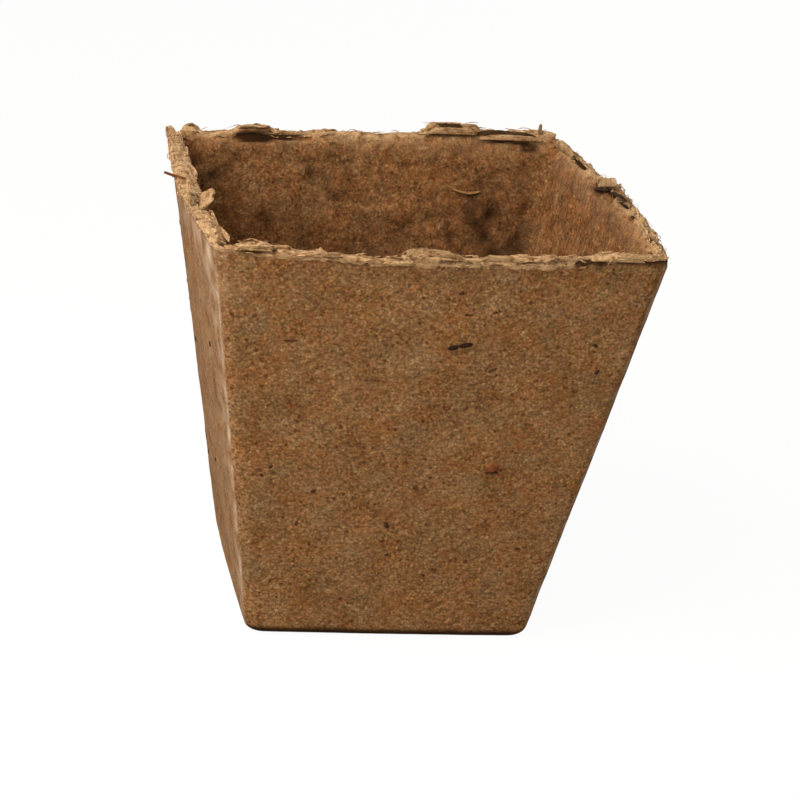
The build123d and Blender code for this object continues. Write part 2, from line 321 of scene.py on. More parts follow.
class PotShape(bpy.types.PropertyGroup):
    """Sizes of the pressed shell and of what is torn from it."""

    foot_width: size("Foot width", "Distance between two opposite sides at the foot", 51.0)
    rim_width: size("Rim width", "Distance between two opposite walls at the rim, at their corners", 76.0)
    height: size("Height", "Height of the even rim", 77.3)
    wall: size("Wall", "Thickness of the walls", 2.3)
    floor_thickness: size("Floor", "Thickness of the floor", 2.7)
    drain_hole: size("Drain hole", "Diameter of the hole in the floor", 8.0)
    corner_radius: size("Corner radius", "Radius of the upright corners, outside", 2.0)
    inner_corner_radius: size("Inner corner radius", "Radius of the upright corners, inside", 3.2)
    foot_radius: size("Foot radius", "Radius where the walls turn into the underside", 2.2)
    inner_floor_radius: size("Inner floor radius", "Radius where the walls turn into the floor", 2.4)
    foot_bow: size("Foot bow", "How far the sides bulge at the foot", 0.3)
    foot_setback: size("Foot setback", "How far the front of the foot stands back from its true place", 1.2)
    rim_bows: FloatVectorProperty(
        name="Rim bows", description="How far the front, right, back and left sides bulge at the rim", size=4,
        default=(0.96 * MM, 1.88 * MM, 2.22 * MM, 2.05 * MM), unit="LENGTH", precision=4,
    )
    outer_lumps: size("Outer lumps", "Unevenness of the outside", 0.16)
    inner_lumps: size("Inner lumps", "Unevenness of the inside, which no mould touched", 0.55)
    small_flakes: amount("Small flakes", "Loose flakes along the whole lip", 130)
    lip_fibres: amount("Lip fibres", "Fibres that lie along the torn lip", 700)
    wall_fibres: amount("Wall fibres", "Fibres that lie on the walls", 600)


class PotColours(bpy.types.PropertyGroup):
    """Colours of the felt and of the wood in it."""

    brown: tint("Brown", "Most of the felt", 130, 89, 50)
    rust: tint("Rust", "Reddish grains", 131, 81, 46)
    olive: tint("Olive", "Greenish grains", 122, 92, 51)
    grey: tint("Pinkish grey", "Greyish grains", 146, 109, 77)
    ash: tint("Ash", "Broad greyish patches", 138, 110, 77)
    # Dust and painted sheen: the worn corners, and the left side, pale where light grazes it
    dust_and_sheen: tint("Dust", "Rubbed places of the outside", 196, 172, 146)
    speck: tint("Speck", "Small dark reddish specks", 86, 46, 24)
    umber: tint("Umber", "Dark grains", 88, 56, 32)
    # Painted shade: the colour that pits, hollows, slits, dark flakes and the foot's edge are darkened
    # towards; also the lighter streaks of the dark twig
    shade: tint("Deep shade", "Felt at the bottom of pits and hollows", 46, 28, 14)
    tan: tint("Tan", "Light grains", 163, 129, 88)
    straw: tint("Straw", "The torn fibre of the lip", 212, 172, 124)
    dark_wood: tint("Dark wood", "Slivers of dark wood", 38, 22, 15)
    red_wood: tint("Red wood", "Bark and the splinter", 104, 50, 26)
    pale_wood: tint("Pale wood", "The shaving on the inside", 148, 110, 72)
    floor: tint("Floor", "The pale surface that the pot stands on", 196, 192, 186)


def read_points(table, position):
    """The value at a position on a line of points, eased from point to point."""
    for (start, low), (end, high) in zip(table, table[1:]):
        if position <= end:
            share = max(0.0, (position - start) / (end - start))
            return low + (high - low) * share * share * (3 - 2 * share)
    return table[-1][1]


def round_table(table, unit=MM):
    """A table of the four sides as one line of points round the pot, closed at both ends."""
    points = []
    for index, side in enumerate(SIDES):
        points += [(index + (share + 1) / 2, value * unit) for share, value in table[side]]
    first, last = points[0], points[-1]
    return [(last[0] - 4, last[1]), *points, (first[0] + 4, first[1])]


def bell(distance, width):
    """1 at no distance, falling smoothly to nothing at half the width and beyond."""
    share = min(1.0, abs(distance) / (width / 2))
    return (1 - share * share) ** 2


def held(value, low=0.0, high=1.0):
    """A value kept between two limits."""
    return max(low, min(high, value))


def spun(vector, degrees):
    """A vector turned about Z."""
    return Matrix.Rotation(math.radians(degrees), 3, "Z") @ vector


def way(start, end):
    """The direction from one point to another."""
    return (end - start).normalized()


def rows_of(groups):
    """The rows of a table that is grouped by side, each with its group's key in front."""
    return [(key, *row) for key, rows in groups for row in rows]


class Pot:
    """The shape of the settled pot, from the sizes in the panel."""

    def __init__(self):
        shape = bpy.context.scene.peat_pot_shape
        self.foot_half = shape.foot_width / 2
        self.rim_half = shape.rim_width / 2
        self.height = shape.height
        self.wall = shape.wall
        self.floor = shape.floor_thickness
        self.hole = shape.drain_hole / 2
        self.corner = shape.corner_radius
        self.inner_corner = shape.inner_corner_radius
        self.foot_radius = shape.foot_radius
        self.inner_floor_radius = shape.inner_floor_radius
        self.foot_bow = shape.foot_bow
        self.bows = dict(zip(SIDES, shape.rim_bows))
        self.setback = shape.foot_setback
        self.outer_lumps = shape.outer_lumps
        self.inner_lumps = shape.inner_lumps
        self.creep = {signs: Vector(shift) * MM for signs, shift in CORNER_CREEP.items()}
        self.straight = self.rim_half - self.corner
        self.slope = (self.rim_half - self.foot_half) / self.height
        self.crest = round_table(CREST)
        self.hem = round_table(HEM)
        self.widths = round_table(WIDTH_SHARES, 1.0)
        self.drawn_in = round_table(DRAWN_IN)

    def half_at(self, z):
        """Half the width between opposite sides at a height, at the corners."""
        return self.foot_half + (self.rim_half - self.foot_half) * z / self.height

    def settled(self, point, share=None):
        """Where a point of the true square pot lies once the sides have bowed and the corners have crept."""
        share = point.z / self.height if share is None else share
        half = self.half_at(share * self.height)
        x = held(point.x / half, -BOW_REACH, BOW_REACH)
        y = held(point.y / half, -BOW_REACH, BOW_REACH)
        bow_x = self.foot_bow + (self.bows["right" if x > 0 else "left"] - self.foot_bow) * share
        bow_y = self.foot_bow + (self.bows["back" if y > 0 else "front"] - self.foot_bow) * share
        moved = Vector((bow_x * x * (1 - min(y * y, 1)), bow_y * y * (1 - min(x * x, 1)), 0))
        moved.y += self.setback * (1 - share) * (1 - y) / 2 * (1 - SETBACK_SKEW * x)
        for (sign_x, sign_y), shift in self.creep.items():
            moved += shift * ((1 + sign_x * x) * (1 + sign_y * y) / 4 * share)
        return point + moved

    def wall_point(self, side, along, z, out=0.0):
        """A point on a wall, or out of it."""
        return self.settled(spun(Vector((along, -self.half_at(z) - out, z)), SIDE_TURNS[side]))

    def rim_point(self, side, along, up, out=0.0):
        """A point of the lip, above or below the even rim."""
        flat = Vector((along, -self.rim_half - out, self.height))
        return self.settled(spun(flat, SIDE_TURNS[side]), 1.0) + UP * up

    def crest_at(self, side, along):
        """How far the torn crest rises above the even rim."""
        return read_points(self.crest, self.round_position(side, along))

    def hem_at(self, side, along):
        """How far the lip's lower edge rises above the even rim: less than nothing, as it is below."""
        return read_points(self.hem, self.round_position(side, along))

    def lip_out(self, side, along, out, follow):
        """How far out a place on the lip's section lies, where the lip is wider or thinner than the wall."""
        position = self.round_position(side, along)
        share = read_points(self.widths, position)
        return out + (share - 1) * min(0.0, out + LIP_FACE) * follow - read_points(self.drawn_in, position)

    def round_position(self, side, along):
        """A place on the rim as a number from 0 to 4, once round the pot."""
        return SIDES.index(side) + (held(along / self.rim_half, -1.0) + 1) / 2

    def wall_place(self, side, along, z, out=0.0, turn=0.0, inside=False):
        """A place on a wall as a matrix: X along it, turned in the wall's plane, and Z out of it."""
        out = out - self.wall if inside else out
        level = way(self.wall_point(side, along - STEP, z, out), self.wall_point(side, along + STEP, z, out))
        rising = way(self.wall_point(side, along, z - STEP, out), self.wall_point(side, along, z + STEP, out))
        return placed(self.wall_point(side, along, z, out), -level if inside else level, rising, turn)

    def rim_place(self, side, along, up, out, lean, turn=0.0):
        """A place on the lip as a matrix: X along it, Y up and leaning outwards, Z out of it."""
        level = way(self.rim_point(side, along - STEP, up, out), self.rim_point(side, along + STEP, up, out))
        outward = level.cross(UP).normalized()
        leaning = UP * math.cos(lean) + outward * math.sin(lean)
        return placed(self.rim_point(side, along, up, out), level, leaning, turn)


def placed(point, level, rising, turn):
    """The matrix of a place, turned about its own Z."""
    normal = level.cross(rising).normalized()
    rising = normal.cross(level)
    basis = Matrix((level, rising, normal)).transposed().to_4x4()
    return Matrix.Translation(point) @ basis @ Matrix.Rotation(turn, 4, "Z")


def square_ring(half, radius, side_steps, corner_steps):
    """The points of a level rounded square, counter-clockwise from the left end of the front side."""
    points = []
    straight = half - radius
    for turn in SIDE_TURNS.values():
        spin = Matrix.Rotation(math.radians(turn), 2)
        for step in range(side_steps):
            points.append(spin @ Vector((straight * (2 * step / side_steps - 1), -half)))
        for step in range(corner_steps):
            angle = math.radians(90 * step / corner_steps - 90)
            x, y = straight + radius * math.cos(angle), -straight + radius * math.sin(angle)
            points.append(spin @ Vector((x, y)))
    return points


def rolled_grid(columns, rows, numbers):
    """A grid that is to be rolled into a closed ring, with the column and row of each of its points."""
    bm = numbered_bmesh(numbers)
    bmesh.ops.create_grid(bm, x_segments=columns, y_segments=rows, size=0.5)
    cells = [
        (round((v.co.x + 0.5) * columns) % columns, round((v.co.y + 0.5) * rows) % rows) for v in bm.verts
    ]
    return bm, list(zip(bm.verts, cells))


def numbered_bmesh(numbers):
    """An empty bmesh that keeps the named numbers at its points."""
    bm = bmesh.new()
    for name in numbers:
        layer(bm, name)
    return bm


def close_roll(bm):
    """Closes the seams of a rolled grid and turns its faces outwards."""
    bmesh.ops.remove_doubles(bm, verts=bm.verts, dist=MERGE)
    bmesh.ops.recalc_face_normals(bm, faces=bm.faces)
    bm.normal_update()


def layer(bm, name):
    """A number kept at each point, which materials can read as an attribute."""
    return bm.verts.layers.float.get(name) or bm.verts.layers.float.new(name)


def fold_in(bm, part):
    """Adds a finished part to the mesh that collects its kind."""
    mesh = bpy.data.meshes.new("part")
    part.to_mesh(mesh)
    part.free()
    bm.from_mesh(mesh)
    bpy.data.meshes.remove(mesh)


def linked(name, data):
    """A new object in the scene."""
    thing = bpy.data.objects.new(name, data)
    bpy.context.scene.collection.objects.link(thing)
    return thing


def show(name, mesh, material, stands_for=()):
    """Makes a finished piece of a mesh, hangs it on the root body, and hides the imported parts it stands
    for.
    """
    mesh.name = name
    mesh.materials.clear()
    mesh.materials.append(material)
    mesh.shade_smooth()
    piece = linked(name, mesh)
    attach(piece, "root")
    for node in stands_for:
        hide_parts(node)


def show_bmesh(name, bm, material, stands_for=()):
    """Makes a finished piece of a bmesh."""
    mesh = bpy.data.meshes.new(name)
    bm.to_mesh(mesh)
    bm.free()
    show(name, mesh, material, stands_for)


class Shade:
    """A shader socket that Python's operators work on. Each operator adds a Math node."""

    def __init__(self, finish, socket):
        self.finish = finish
        self.socket = socket

    def __add__(self, other):
        return self.finish.maths("ADD", self, other)

    def __radd__(self, other):
        return self.finish.maths("ADD", other, self)

    def __sub__(self, other):
        return self.finish.maths("SUBTRACT", self, other)

    def __rsub__(self, other):
        return self.finish.maths("SUBTRACT", other, self)

    def __mul__(self, other):
        return self.finish.maths("MULTIPLY", self, other)

    def __rmul__(self, other):
        return self.finish.maths("MULTIPLY", other, self)

    def __gt__(self, other):
        return self.finish.maths("GREATER_THAN", self, other)


class Finish:
    """One material, or the world's light, with its nodes."""

    def __init__(self, name, world=False):
        self.material = (bpy.data.worlds if world else bpy.data.materials).new(name)
        self.material.use_nodes = True
        self.tree = self.material.node_tree
        self.tree.nodes.clear()

    @property
    def place(self):
        """Where on the object a point lies."""
        return self.node("ShaderNodeTexCoord", output="Object")

    def node(self, kind, settings=(), inputs=(), output=0):
        """Adds a node with its settings and its sockets' values or links, and returns one of its outputs."""
        node = self.tree.nodes.new(kind)
        for name, value in dict(settings).items():
            if name == "stops":
                self.set_stops(node.color_ramp, value)
            else:
                setattr(node, name, value)
        for name, value in dict(inputs).items():
            socket = node.inputs[name]
            if isinstance(value, Shade):
                self.tree.links.new(value.socket, socket)
            else:
                socket.default_value = (*value, 1) if socket.type == "RGBA" else value
        return Shade(self, node.outputs[output]) if len(node.outputs) else node

    def set_stops(self, ramp, stops):
        """Gives a ramp its stops, from left to right."""
        while len(ramp.elements) > 1:
            ramp.elements.remove(ramp.elements[-1])
        for index, (position, colour) in enumerate(stops):
            element = ramp.elements[0] if index == 0 else ramp.elements.new(position)
            element.position = position
            element.color = (*colour, 1)

    def maths(self, operation, first, second):
        """A Math node on two values."""
        return self.node("ShaderNodeMath", {"operation": operation}, {0: first, 1: second})

    def scaled(self, vector, factor):
        """A vector or colour times a number."""
        return self.node("ShaderNodeVectorMath", {"operation": "SCALE"}, {0: vector, "Scale": factor})

    def stretched(self, vector, factors):
        """A vector times a vector."""
        return self.node("ShaderNodeVectorMath", {"operation": "MULTIPLY"}, {0: vector, 1: factors})

    def shifted(self, vector, way):
        """A vector plus a vector."""
        return self.node("ShaderNodeVectorMath", {"operation": "ADD"}, {0: vector, 1: way})

    def mixed(self, factor, first, second):
        """One colour over another."""
        return self.node("ShaderNodeMix", {"data_type": "RGBA"}, {0: factor, 6: first, 7: second}, output=2)

    def noise(self, grain, where=None, detail=2.0, roughness=0.5, output="Fac"):
        """Cloudy noise whose lumps are about as wide as the grain."""
        inputs = {"Vector": where or self.place, "Scale": 1 / grain, "Detail": detail, "Roughness": roughness}
        return self.node("ShaderNodeTexNoise", {}, inputs, output)

    def cells(self, grain, where=None, output="Color"):
        """Random cells about as wide as the grain."""
        inputs = {"Vector": where or self.place, "Scale": 1 / grain}
        return self.node("ShaderNodeTexVoronoi", {}, inputs, output)

    def lottery(self, cells, channel):
        """One random number for each cell."""
        return self.node("ShaderNodeSeparateColor", {}, {"Color": cells}, channel)

    def ramp(self, factor, stops):
        """A colour for each value."""
        return self.node("ShaderNodeValToRGB", {"stops": stops}, {"Fac": factor})

    def attribute(self, name):
        """A number kept at the mesh's points."""
        return self.node("ShaderNodeAttribute", {"attribute_name": name}, {}, "Fac")

    def span(self, value, low, high, to_low=0.0, to_high=1.0):
        """A value moved from one span to another, and held there."""
        inputs = {"Value": value, "From Min": low, "From Max": high, "To Min": to_low, "To Max": to_high}
        return self.node("ShaderNodeMapRange", {"clamp": True}, inputs, "Result")

    def clouds(self, grain, low, high, to_low=0.0, to_high=1.0, **looks):
        """Cloudy noise with its middle values spread from one value to another."""
        return self.span(self.noise(grain, **looks), low, high, to_low, to_high)

    def bump(self, height, depth, normal=None):
        """A normal from a height between 0 and 1."""
        inputs = {"Height": height, "Distance": depth, "Strength": 1.0}
        if normal:
            inputs["Normal"] = normal
        return self.node("ShaderNodeBump", {}, inputs)

    def shown_white(self, shader, white, output, share):
        """Finishes the material so that the camera, glossy and clear surfaces see it as white, by a share."""
        kinds = ("Camera", "Glossy", "Transmission")
        camera, glossy, clear = (self.node("ShaderNodeLightPath", {}, {}, f"Is {kind} Ray") for kind in kinds)
        seen = (camera + glossy + clear) * share
        mix = self.node("ShaderNodeMixShader", {}, {0: seen, 1: shader, 2: white})
        self.node(output, {}, {"Surface": mix})
        return self.material

    def surface(self, colour, roughness, normal, specular=0.2, sheen=0.0):
        """Finishes the material with its shader."""
        inputs = {
            "Base Color": colour, "Roughness": roughness, "Normal": normal, "Specular IOR Level": specular,
            "Sheen Weight": sheen, "Sheen Roughness": 0.3,
        }
        shader = self.node("ShaderNodeBsdfPrincipled", {}, inputs)
        self.node("ShaderNodeOutputMaterial", {}, {"Surface": shader})
        return self.material


def grain_stops(colours):
    """The felt's grains as a ramp over a random number: mostly browns, with a few dark and light ones."""
    return [
        (0.00, colours.umber), (0.09, colours.rust), (0.26, colours.olive), (0.40, colours.brown),
        (0.56, colours.rust), (0.70, colours.brown), (0.82, colours.grey), (0.92, colours.olive),
        (1.00, colours.tan),
    ]


def felt_colour(finish, colours, inside):
    """Soft grains of several browns in two sizes, with dark gaps among them, reddish specks and soft clouds.

    The inside of the pot is redder than the outside, and mottled, and darker by a painted shade."""
    wander = finish.scaled(finish.noise(WANDER_SIZE, output="Color"), WANDER_REACH)
    where = finish.shifted(finish.place, wander)
    coarse = finish.ramp(finish.lottery(finish.cells(COARSE_GRAIN, where), "Red"), grain_stops(colours))
    fine = finish.ramp(finish.lottery(finish.cells(FINE_GRAIN, where), "Green"), grain_stops(colours))
    ashy = finish.clouds(6 * MM, 0.42, 0.70, 0.0, 0.5, detail=4.0)
    colour = finish.mixed(ashy, finish.mixed(0.5, coarse, fine), colours.ash)
    gaps = finish.span(finish.cells(GRAIN_GAP, where, "Distance"), 0.1, 0.8, 1.24, 0.70)
    light = finish.clouds(0.44 * MM, 0.3, 0.7, 0.54, 1.46, detail=3.0, roughness=0.6)
    broad = finish.clouds(7 * MM, 0.3, 0.7, 0.87, 1.13, detail=3.0)
    small = finish.clouds(1.6 * MM, 0.3, 0.7, 0.88, 1.12)
    colour = finish.scaled(colour, gaps * light * broad * small)
    chosen = finish.lottery(finish.cells(SPECK, where), "Blue") > 0.92
    specks = chosen * finish.span(finish.cells(SPECK, where, "Distance"), 0.26, 0.44, 0.85, 0.0)
    colour = finish.mixed(specks, colour, colours.speck)
    colour = finish.mixed(finish.clouds(3.5 * MM, 0.50, 0.66, 0.0, 0.22), colour, colours.rust)
    colour = finish.mixed(inside, colour, finish.stretched(colour, (1.06, 0.96, 0.90)))
    lumps = finish.clouds(1.8 * MM, 0.35, 0.65, -0.24, 0.16, detail=3.0) * inside
    # The inside is a tenth darker: painted shade of the pot's hollow
    return finish.scaled(colour, 1 - inside * 0.10 + lumps), where


def wire_print(finish):
    """The print of the mould's woven wire: two crossed sets of soft bands, 1 where both are high."""
    sets = []
    for tilt in (WIRE_TILT, -WIRE_TILT):
        turn = (0, math.radians(tilt), math.radians(WIRE_TURN))
        turned = finish.node(
            "ShaderNodeMapping", {"vector_type": "POINT"}, {"Vector": finish.place, "Rotation": turn},
        )
        settings = {"wave_type": "BANDS", "bands_direction": "X", "wave_profile": "SIN"}
        scale = 2 * math.pi / WAVE_RADIANS / WIRE_PITCH
        inputs = {"Vector": turned, "Scale": scale, "Distortion": 0.6, "Detail": 1.0}
        sets.append(finish.node("ShaderNodeTexWave", settings, inputs, "Fac"))
    return sets[0] * sets[1]


def felt_bump(finish, where, wires, coarse):
    """Grain and fine fibre, coarser where no mould touched, with the print of the wires where it did."""
    grain = finish.noise(0.42 * MM, where, detail=3.0, roughness=0.6)
    threads = finish.noise(0.25 * MM, finish.stretched(where, (0.35, 0.35, 1.6)), detail=1.0)
    lumps = finish.noise(1.3 * MM, detail=2.0) * coarse
    first = finish.bump(grain * 0.5 + threads * 0.2 + lumps * 0.9, FELT_BUMP)
    return finish.bump(wires, WIRE_BUMP, first)


def pressed_felt(colours):
    """The felt of the shell: printed and even outside, darker and lumpier inside, pale on worn edges.

    The darker inside, the hollows, slits and the foot's edge are painted shade, and the pale left side is
    painted sheen.
    """
    finish = Finish("pressed_felt")
    inside = finish.attribute("inside")
    colour, where = felt_colour(finish, colours, inside)
    painted_shade = finish.attribute("painted_shade")
    sheen_and_wear = finish.attribute("sheen_and_wear")
    wires = wire_print(finish) * (1 - inside)
    colour = finish.scaled(colour, 1 - wires * 0.10)
    # Painted shade: pits, hollows, slits, the hidden top under the lip and the foot's edge, darkened towards
    # the deep shade colour
    colour = finish.mixed(painted_shade * 0.97, colour, colours.shade)
    # Pale on worn corners, and a painted sheen of grazing light on the left side
    colour = finish.mixed(sheen_and_wear * 0.5, colour, colours.dust_and_sheen)
    normal = felt_bump(finish, where, wires, inside)
    return finish.surface(colour, 0.95, normal, specular=0.03)


def torn_felt(colours):
    """The torn lip: straw-coloured fibre in streaks along the rim, brown where it isn't torn, with painted
    shade.
    """
    finish = Finish("torn_felt")
    brown, where = felt_colour(finish, colours, finish.attribute("inner"))
    streaks = finish.noise(0.42 * MM, finish.stretched(where, (0.55, 0.55, 1.5)), detail=3.0, roughness=0.65)
    straw = finish.ramp(streaks, [
        (0.26, colours.umber), (0.35, colours.rust), (0.45, colours.straw), (0.60, colours.tan),
        (0.74, colours.straw),
    ])
    torn = finish.attribute("torn")
    painted_shade = finish.attribute("painted_shade")
    drawn_out = finish.stretched(where, (0.6, 0.6, 1.3))
    patches = finish.clouds(1.1 * MM, 0.32, 0.55, where=drawn_out, detail=3.0)
    colour = finish.mixed(torn * patches * 0.9, brown, straw)
    # Painted shade in the lip's pits and slots, its low steps and dark flakes
    colour = finish.mixed(painted_shade * 0.9, colour, colours.shade)
    grain = finish.noise(0.3 * MM, where, detail=3.0, roughness=0.65)
    normal = finish.bump(grain, TORN_BUMP)
    return finish.surface(colour, 0.95, normal, specular=0.04, sheen=0.04)


def wood(name, light, dark, grain=0.25 * MM):
    """Wood or bark: two colours in fine streaks."""
    finish = Finish(name)
    streaks = finish.noise(grain, finish.stretched(finish.place, (0.3, 1.0, 1.0)), detail=3.0)
    colour = finish.mixed(finish.span(streaks, 0.35, 0.65), dark, light)
    normal = finish.bump(streaks, 0.08 * MM)
    roughness = finish.span(streaks, 0.3, 0.7, 0.8, 0.95)
    return finish.surface(colour, roughness, normal, specular=0.06)


def loose_fibre(name, shades):
    """Fibres, each in its own shade along its length."""
    finish = Finish(name)
    stops = [(0.32 + 0.12 * index, shade) for index, shade in enumerate(shades)]
    colour = finish.ramp(finish.noise(1.2 * MM, detail=2.0), stops)
    normal = finish.bump(finish.noise(0.2 * MM), 0.03 * MM)
    return finish.surface(colour, 0.9, normal, specular=0.1, sheen=0.05)


def shell_rows(pot):
    """The shell's rings in order, from the hole over the outside and the inside and back to the hole.

    Each row is a height, half a width, a corner radius, how square it is, how far lumps move it, and how far
    inside."""
    outer, inner = pot.outer_lumps, pot.inner_lumps
    rows = []
    flat_half = pot.foot_half - pot.foot_radius
    for step in range(UNDERSIDE_ROWS):
        square = step / UNDERSIDE_ROWS
        rows.append((0.0, flat_half, pot.corner, square, outer * UNDERSIDE_LUMPS * square, 0.0))
    for step in range(FOOT_ROWS):
        angle = math.radians(FOOT_ARC * step / FOOT_ROWS)
        z = pot.foot_radius * (1 - math.cos(angle))
        half = pot.half_at(z) - pot.foot_radius * (1 - math.sin(angle))
        rows.append((z, half, pot.corner, 1.0, outer * step / FOOT_ROWS, 0.0))
    end = pot.height - SHELL_END
    for step in range(WALL_ROWS):
        z = pot.foot_radius + (end - pot.foot_radius) * step / WALL_ROWS
        rows.append((z, pot.half_at(z), pot.corner, 1.0, outer, 0.0))
    for share in (0.15, 0.5, 0.85):
        z = end + SHELL_CROWN
        rows.append((z, pot.half_at(z) - pot.wall * share, pot.corner, 1.0, outer, share))
    inner_start = pot.floor + pot.inner_floor_radius
    for step in range(WALL_ROWS):
        z = end + (inner_start - end) * step / WALL_ROWS
        rows.append((z, pot.half_at(z) - pot.wall, pot.inner_corner, 1.0, inner, 1.0))
    for step in range(FLOOR_EDGE_ROWS):
        angle = math.radians(90 * step / FLOOR_EDGE_ROWS)
        z = inner_start - pot.inner_floor_radius * math.sin(angle)
        half = pot.half_at(z) - pot.wall - pot.inner_floor_radius * (1 - math.cos(angle))
        rows.append((z, half, pot.inner_corner, 1.0, inner, 1.0))
    floor_half = pot.half_at(pot.floor) - pot.wall - pot.inner_floor_radius
    for step in range(FLOOR_ROWS):
        square = 1 - step / FLOOR_ROWS
        rows.append((pot.floor, floor_half, pot.inner_corner, square, inner * square, 1.0))
    for step in range(HOLE_ROWS):
        share = 1 - step / HOLE_ROWS
        rows.append((pot.floor * share, floor_half, pot.inner_corner, 0.0, 0.0, share))
    return rows


def build_shell(pot):
    """The closed shell, settled and lumpy, with its numbers for the material."""
    rows = shell_rows(pot)
    rings = []
    for z, half, radius, square, _, _ in rows:
        ring = square_ring(half, radius, SHELL_SIDE_COLUMNS, SHELL_CORNER_COLUMNS)
        rings.append([(point.normalized() * pot.hole).lerp(point, square).to_3d() + UP * z for point in ring])
    numbers = ("lump", "inside", "painted_shade", "sheen_and_wear")
    bm, cells = rolled_grid(len(rings[0]), len(rows), numbers)
    lump, inside, painted_shade, sheen_and_wear = (layer(bm, name) for name in numbers)
    for vert, (column, row) in cells:
        vert.co = pot.settled(rings[row][column])
        square, vert[lump], inward = rows[row][3:]
        vert[inside] = inward
        number, in_side = divmod(column, SHELL_SIDE_COLUMNS + SHELL_CORNER_COLUMNS)
        side, past = SIDES[number], in_side - SHELL_SIDE_COLUMNS
        along = pot.rim_half * (2 * min(in_side / SHELL_SIDE_COLUMNS, 1) - 1)
        near_rim = max(0.0, 1 - (pot.height - vert.co.z) / RIM_ZONE)
        vert.co.z += min(0.0, pot.crest_at(side, along)) * near_rim
        outward = spun(Vector((0, -1, 0)), SIDE_TURNS[side] + 90 * max(0, past) / SHELL_CORNER_COLUMNS)
        inner_out = pot.lip_out(side, along, -pot.wall, 1.0) + pot.wall
        vert.co += outward * (inner_out * vert[inside] * near_rim * near_rim)
        # The shell's hidden top under the lip is fully dark: painted shade
        if 0 < inward < 1:
            vert[painted_shade] = 1.0
        elif not inward:
            fade = square**UNDERSIDE_FADE
            vert[sheen_and_wear] = max(0.0, sheen_and_wear_at(pot, vert.co, side, past) * fade)
            # Painted contact shadow along the foot's lowest edge, faded out on the underside
            vert[painted_shade] = min(1.0, FOOT_SHADOW_DARKNESS * bell(vert.co.z, 2 * FOOT_SHADOW_HEIGHT)) * fade
    close_roll(bm)
    roughen_shell(bm, pot, lump, inside, painted_shade)
    return bm


def sheen_and_wear_at(pot, point, side, past):
    """How pale the outside is at a point, by its columns past the side's end.

    The corners are worn, and all of the left side is pale with a painted sheen of grazing light."""
    patches = 0.5 + 0.9 * noise.noise(point / SHEEN_AND_WEAR_PATCH)
    if side != "left":
        return bell(past - SHELL_CORNER_COLUMNS * 0.5, SHELL_CORNER_COLUMNS * 0.5) * patches
    sheen_and_wear = 1.8 * bell(past - SHELL_CORNER_COLUMNS * 0.1, SHELL_CORNER_COLUMNS * 0.5)
    if past < 0:
        sheen_and_wear += (0.3 + 0.6 * bell(past, PALE_COLUMNS)) * min(1.0, (past + SHELL_SIDE_COLUMNS) / FADE_COLUMNS)
    sheen_and_wear += 0.8 * bell(pot.height - point.z, PALE_REACH) * bell(past, SHELL_SIDE_COLUMNS * 2)
    return sheen_and_wear * patches


def unevenness(point, inside):
    """How far the felt stands out at a point, as a share: soft swells everywhere, and close lumps inside."""
    swell = noise.fractal(point / (9 * MM), 1.0, 2.0, 2)
    close = noise.fractal(point / (3.2 * MM), 0.8, 2.1, 3)
    crumbs = noise.noise(point / (1.5 * MM))
    return swell * 0.6 + (close * 0.55 + crumbs * 0.15) * inside + crumbs * 0.25 * (1 - inside)


def roughen_shell(bm, pot, lump, inside, painted_shade):
    """Moves the shell's points in and out, in swells, lumps and the marks of the walls, and paints shade into
    the hollows and marks.
    """
    marks = []
    for (side, within), along, z, turn, length, width, depth, dark in rows_of(WALL_MARKS):
        place = pot.wall_place(side, along * MM, z * MM, 0.0, math.radians(turn), within)
        marks.append((place.inverted(), within, length * MM, width * MM, depth * MM, dark))
    moves = []
    for vert in bm.verts:
        height = unevenness(vert.co, vert[inside])
        # Painted shade in the felt's hollows, more of it inside
        hollow_shade = max(0.0, -height) * (0.2 + 0.35 * vert[inside])
        sunk = 0.0
        for inverse, within, length, width, depth, dark in marks:
            at = inverse @ vert.co
            if within == (vert[inside] > 0.5) and abs(at.z) < MARK_REACH:
                strength = bell(at.x, length) * bell(at.y, width)
                sunk += depth * strength
                hollow_shade += dark * strength * (1 + 0.9 * noise.noise(vert.co / (2 * MM)))
        moves.append(vert.normal * (height * vert[lump] - sunk))
        vert[painted_shade] = min(1.0, vert[painted_shade] + hollow_shade)
    for vert, move in zip(bm.verts, moves):
        vert.co += move
        vert.co.z = max(0.0, vert.co.z)


def smooth_section(points, count):
    """Evenly numbered points on a closed curve through given ones."""
    section = []
    total = len(points)
    for index in range(count):
        position = index * total / count
        start, share = int(position), position % 1
        before, here, after, beyond = (Vector(points[(start + offset) % total]) for offset in (-1, 0, 1, 2))
        section.append(0.5 * (
            2 * here + (after - before) * share
            + (2 * before - 5 * here + 4 * after - beyond) * share**2
            + (3 * here - before - 3 * after + beyond) * share**3
        ))
    return section


def lip_columns(pot):
    """The lip's middle line: for each column its side, place along it, turn, reach, crest and hem."""
    columns = []
    for side in SIDES:
        spots = [(pot.straight * (2 * step / LIP_SIDE_COLUMNS - 1), 0.0) for step in range(LIP_SIDE_COLUMNS)]
        spots += [(pot.straight, 90 * step / LIP_CORNER_COLUMNS) for step in range(LIP_CORNER_COLUMNS)]
        for along, angle in spots:
            reach = along + math.sin(math.radians(angle)) * pot.corner * 0.5
            columns.append((side, along, angle, reach, pot.crest_at(side, reach), pot.hem_at(side, reach)))
    return columns


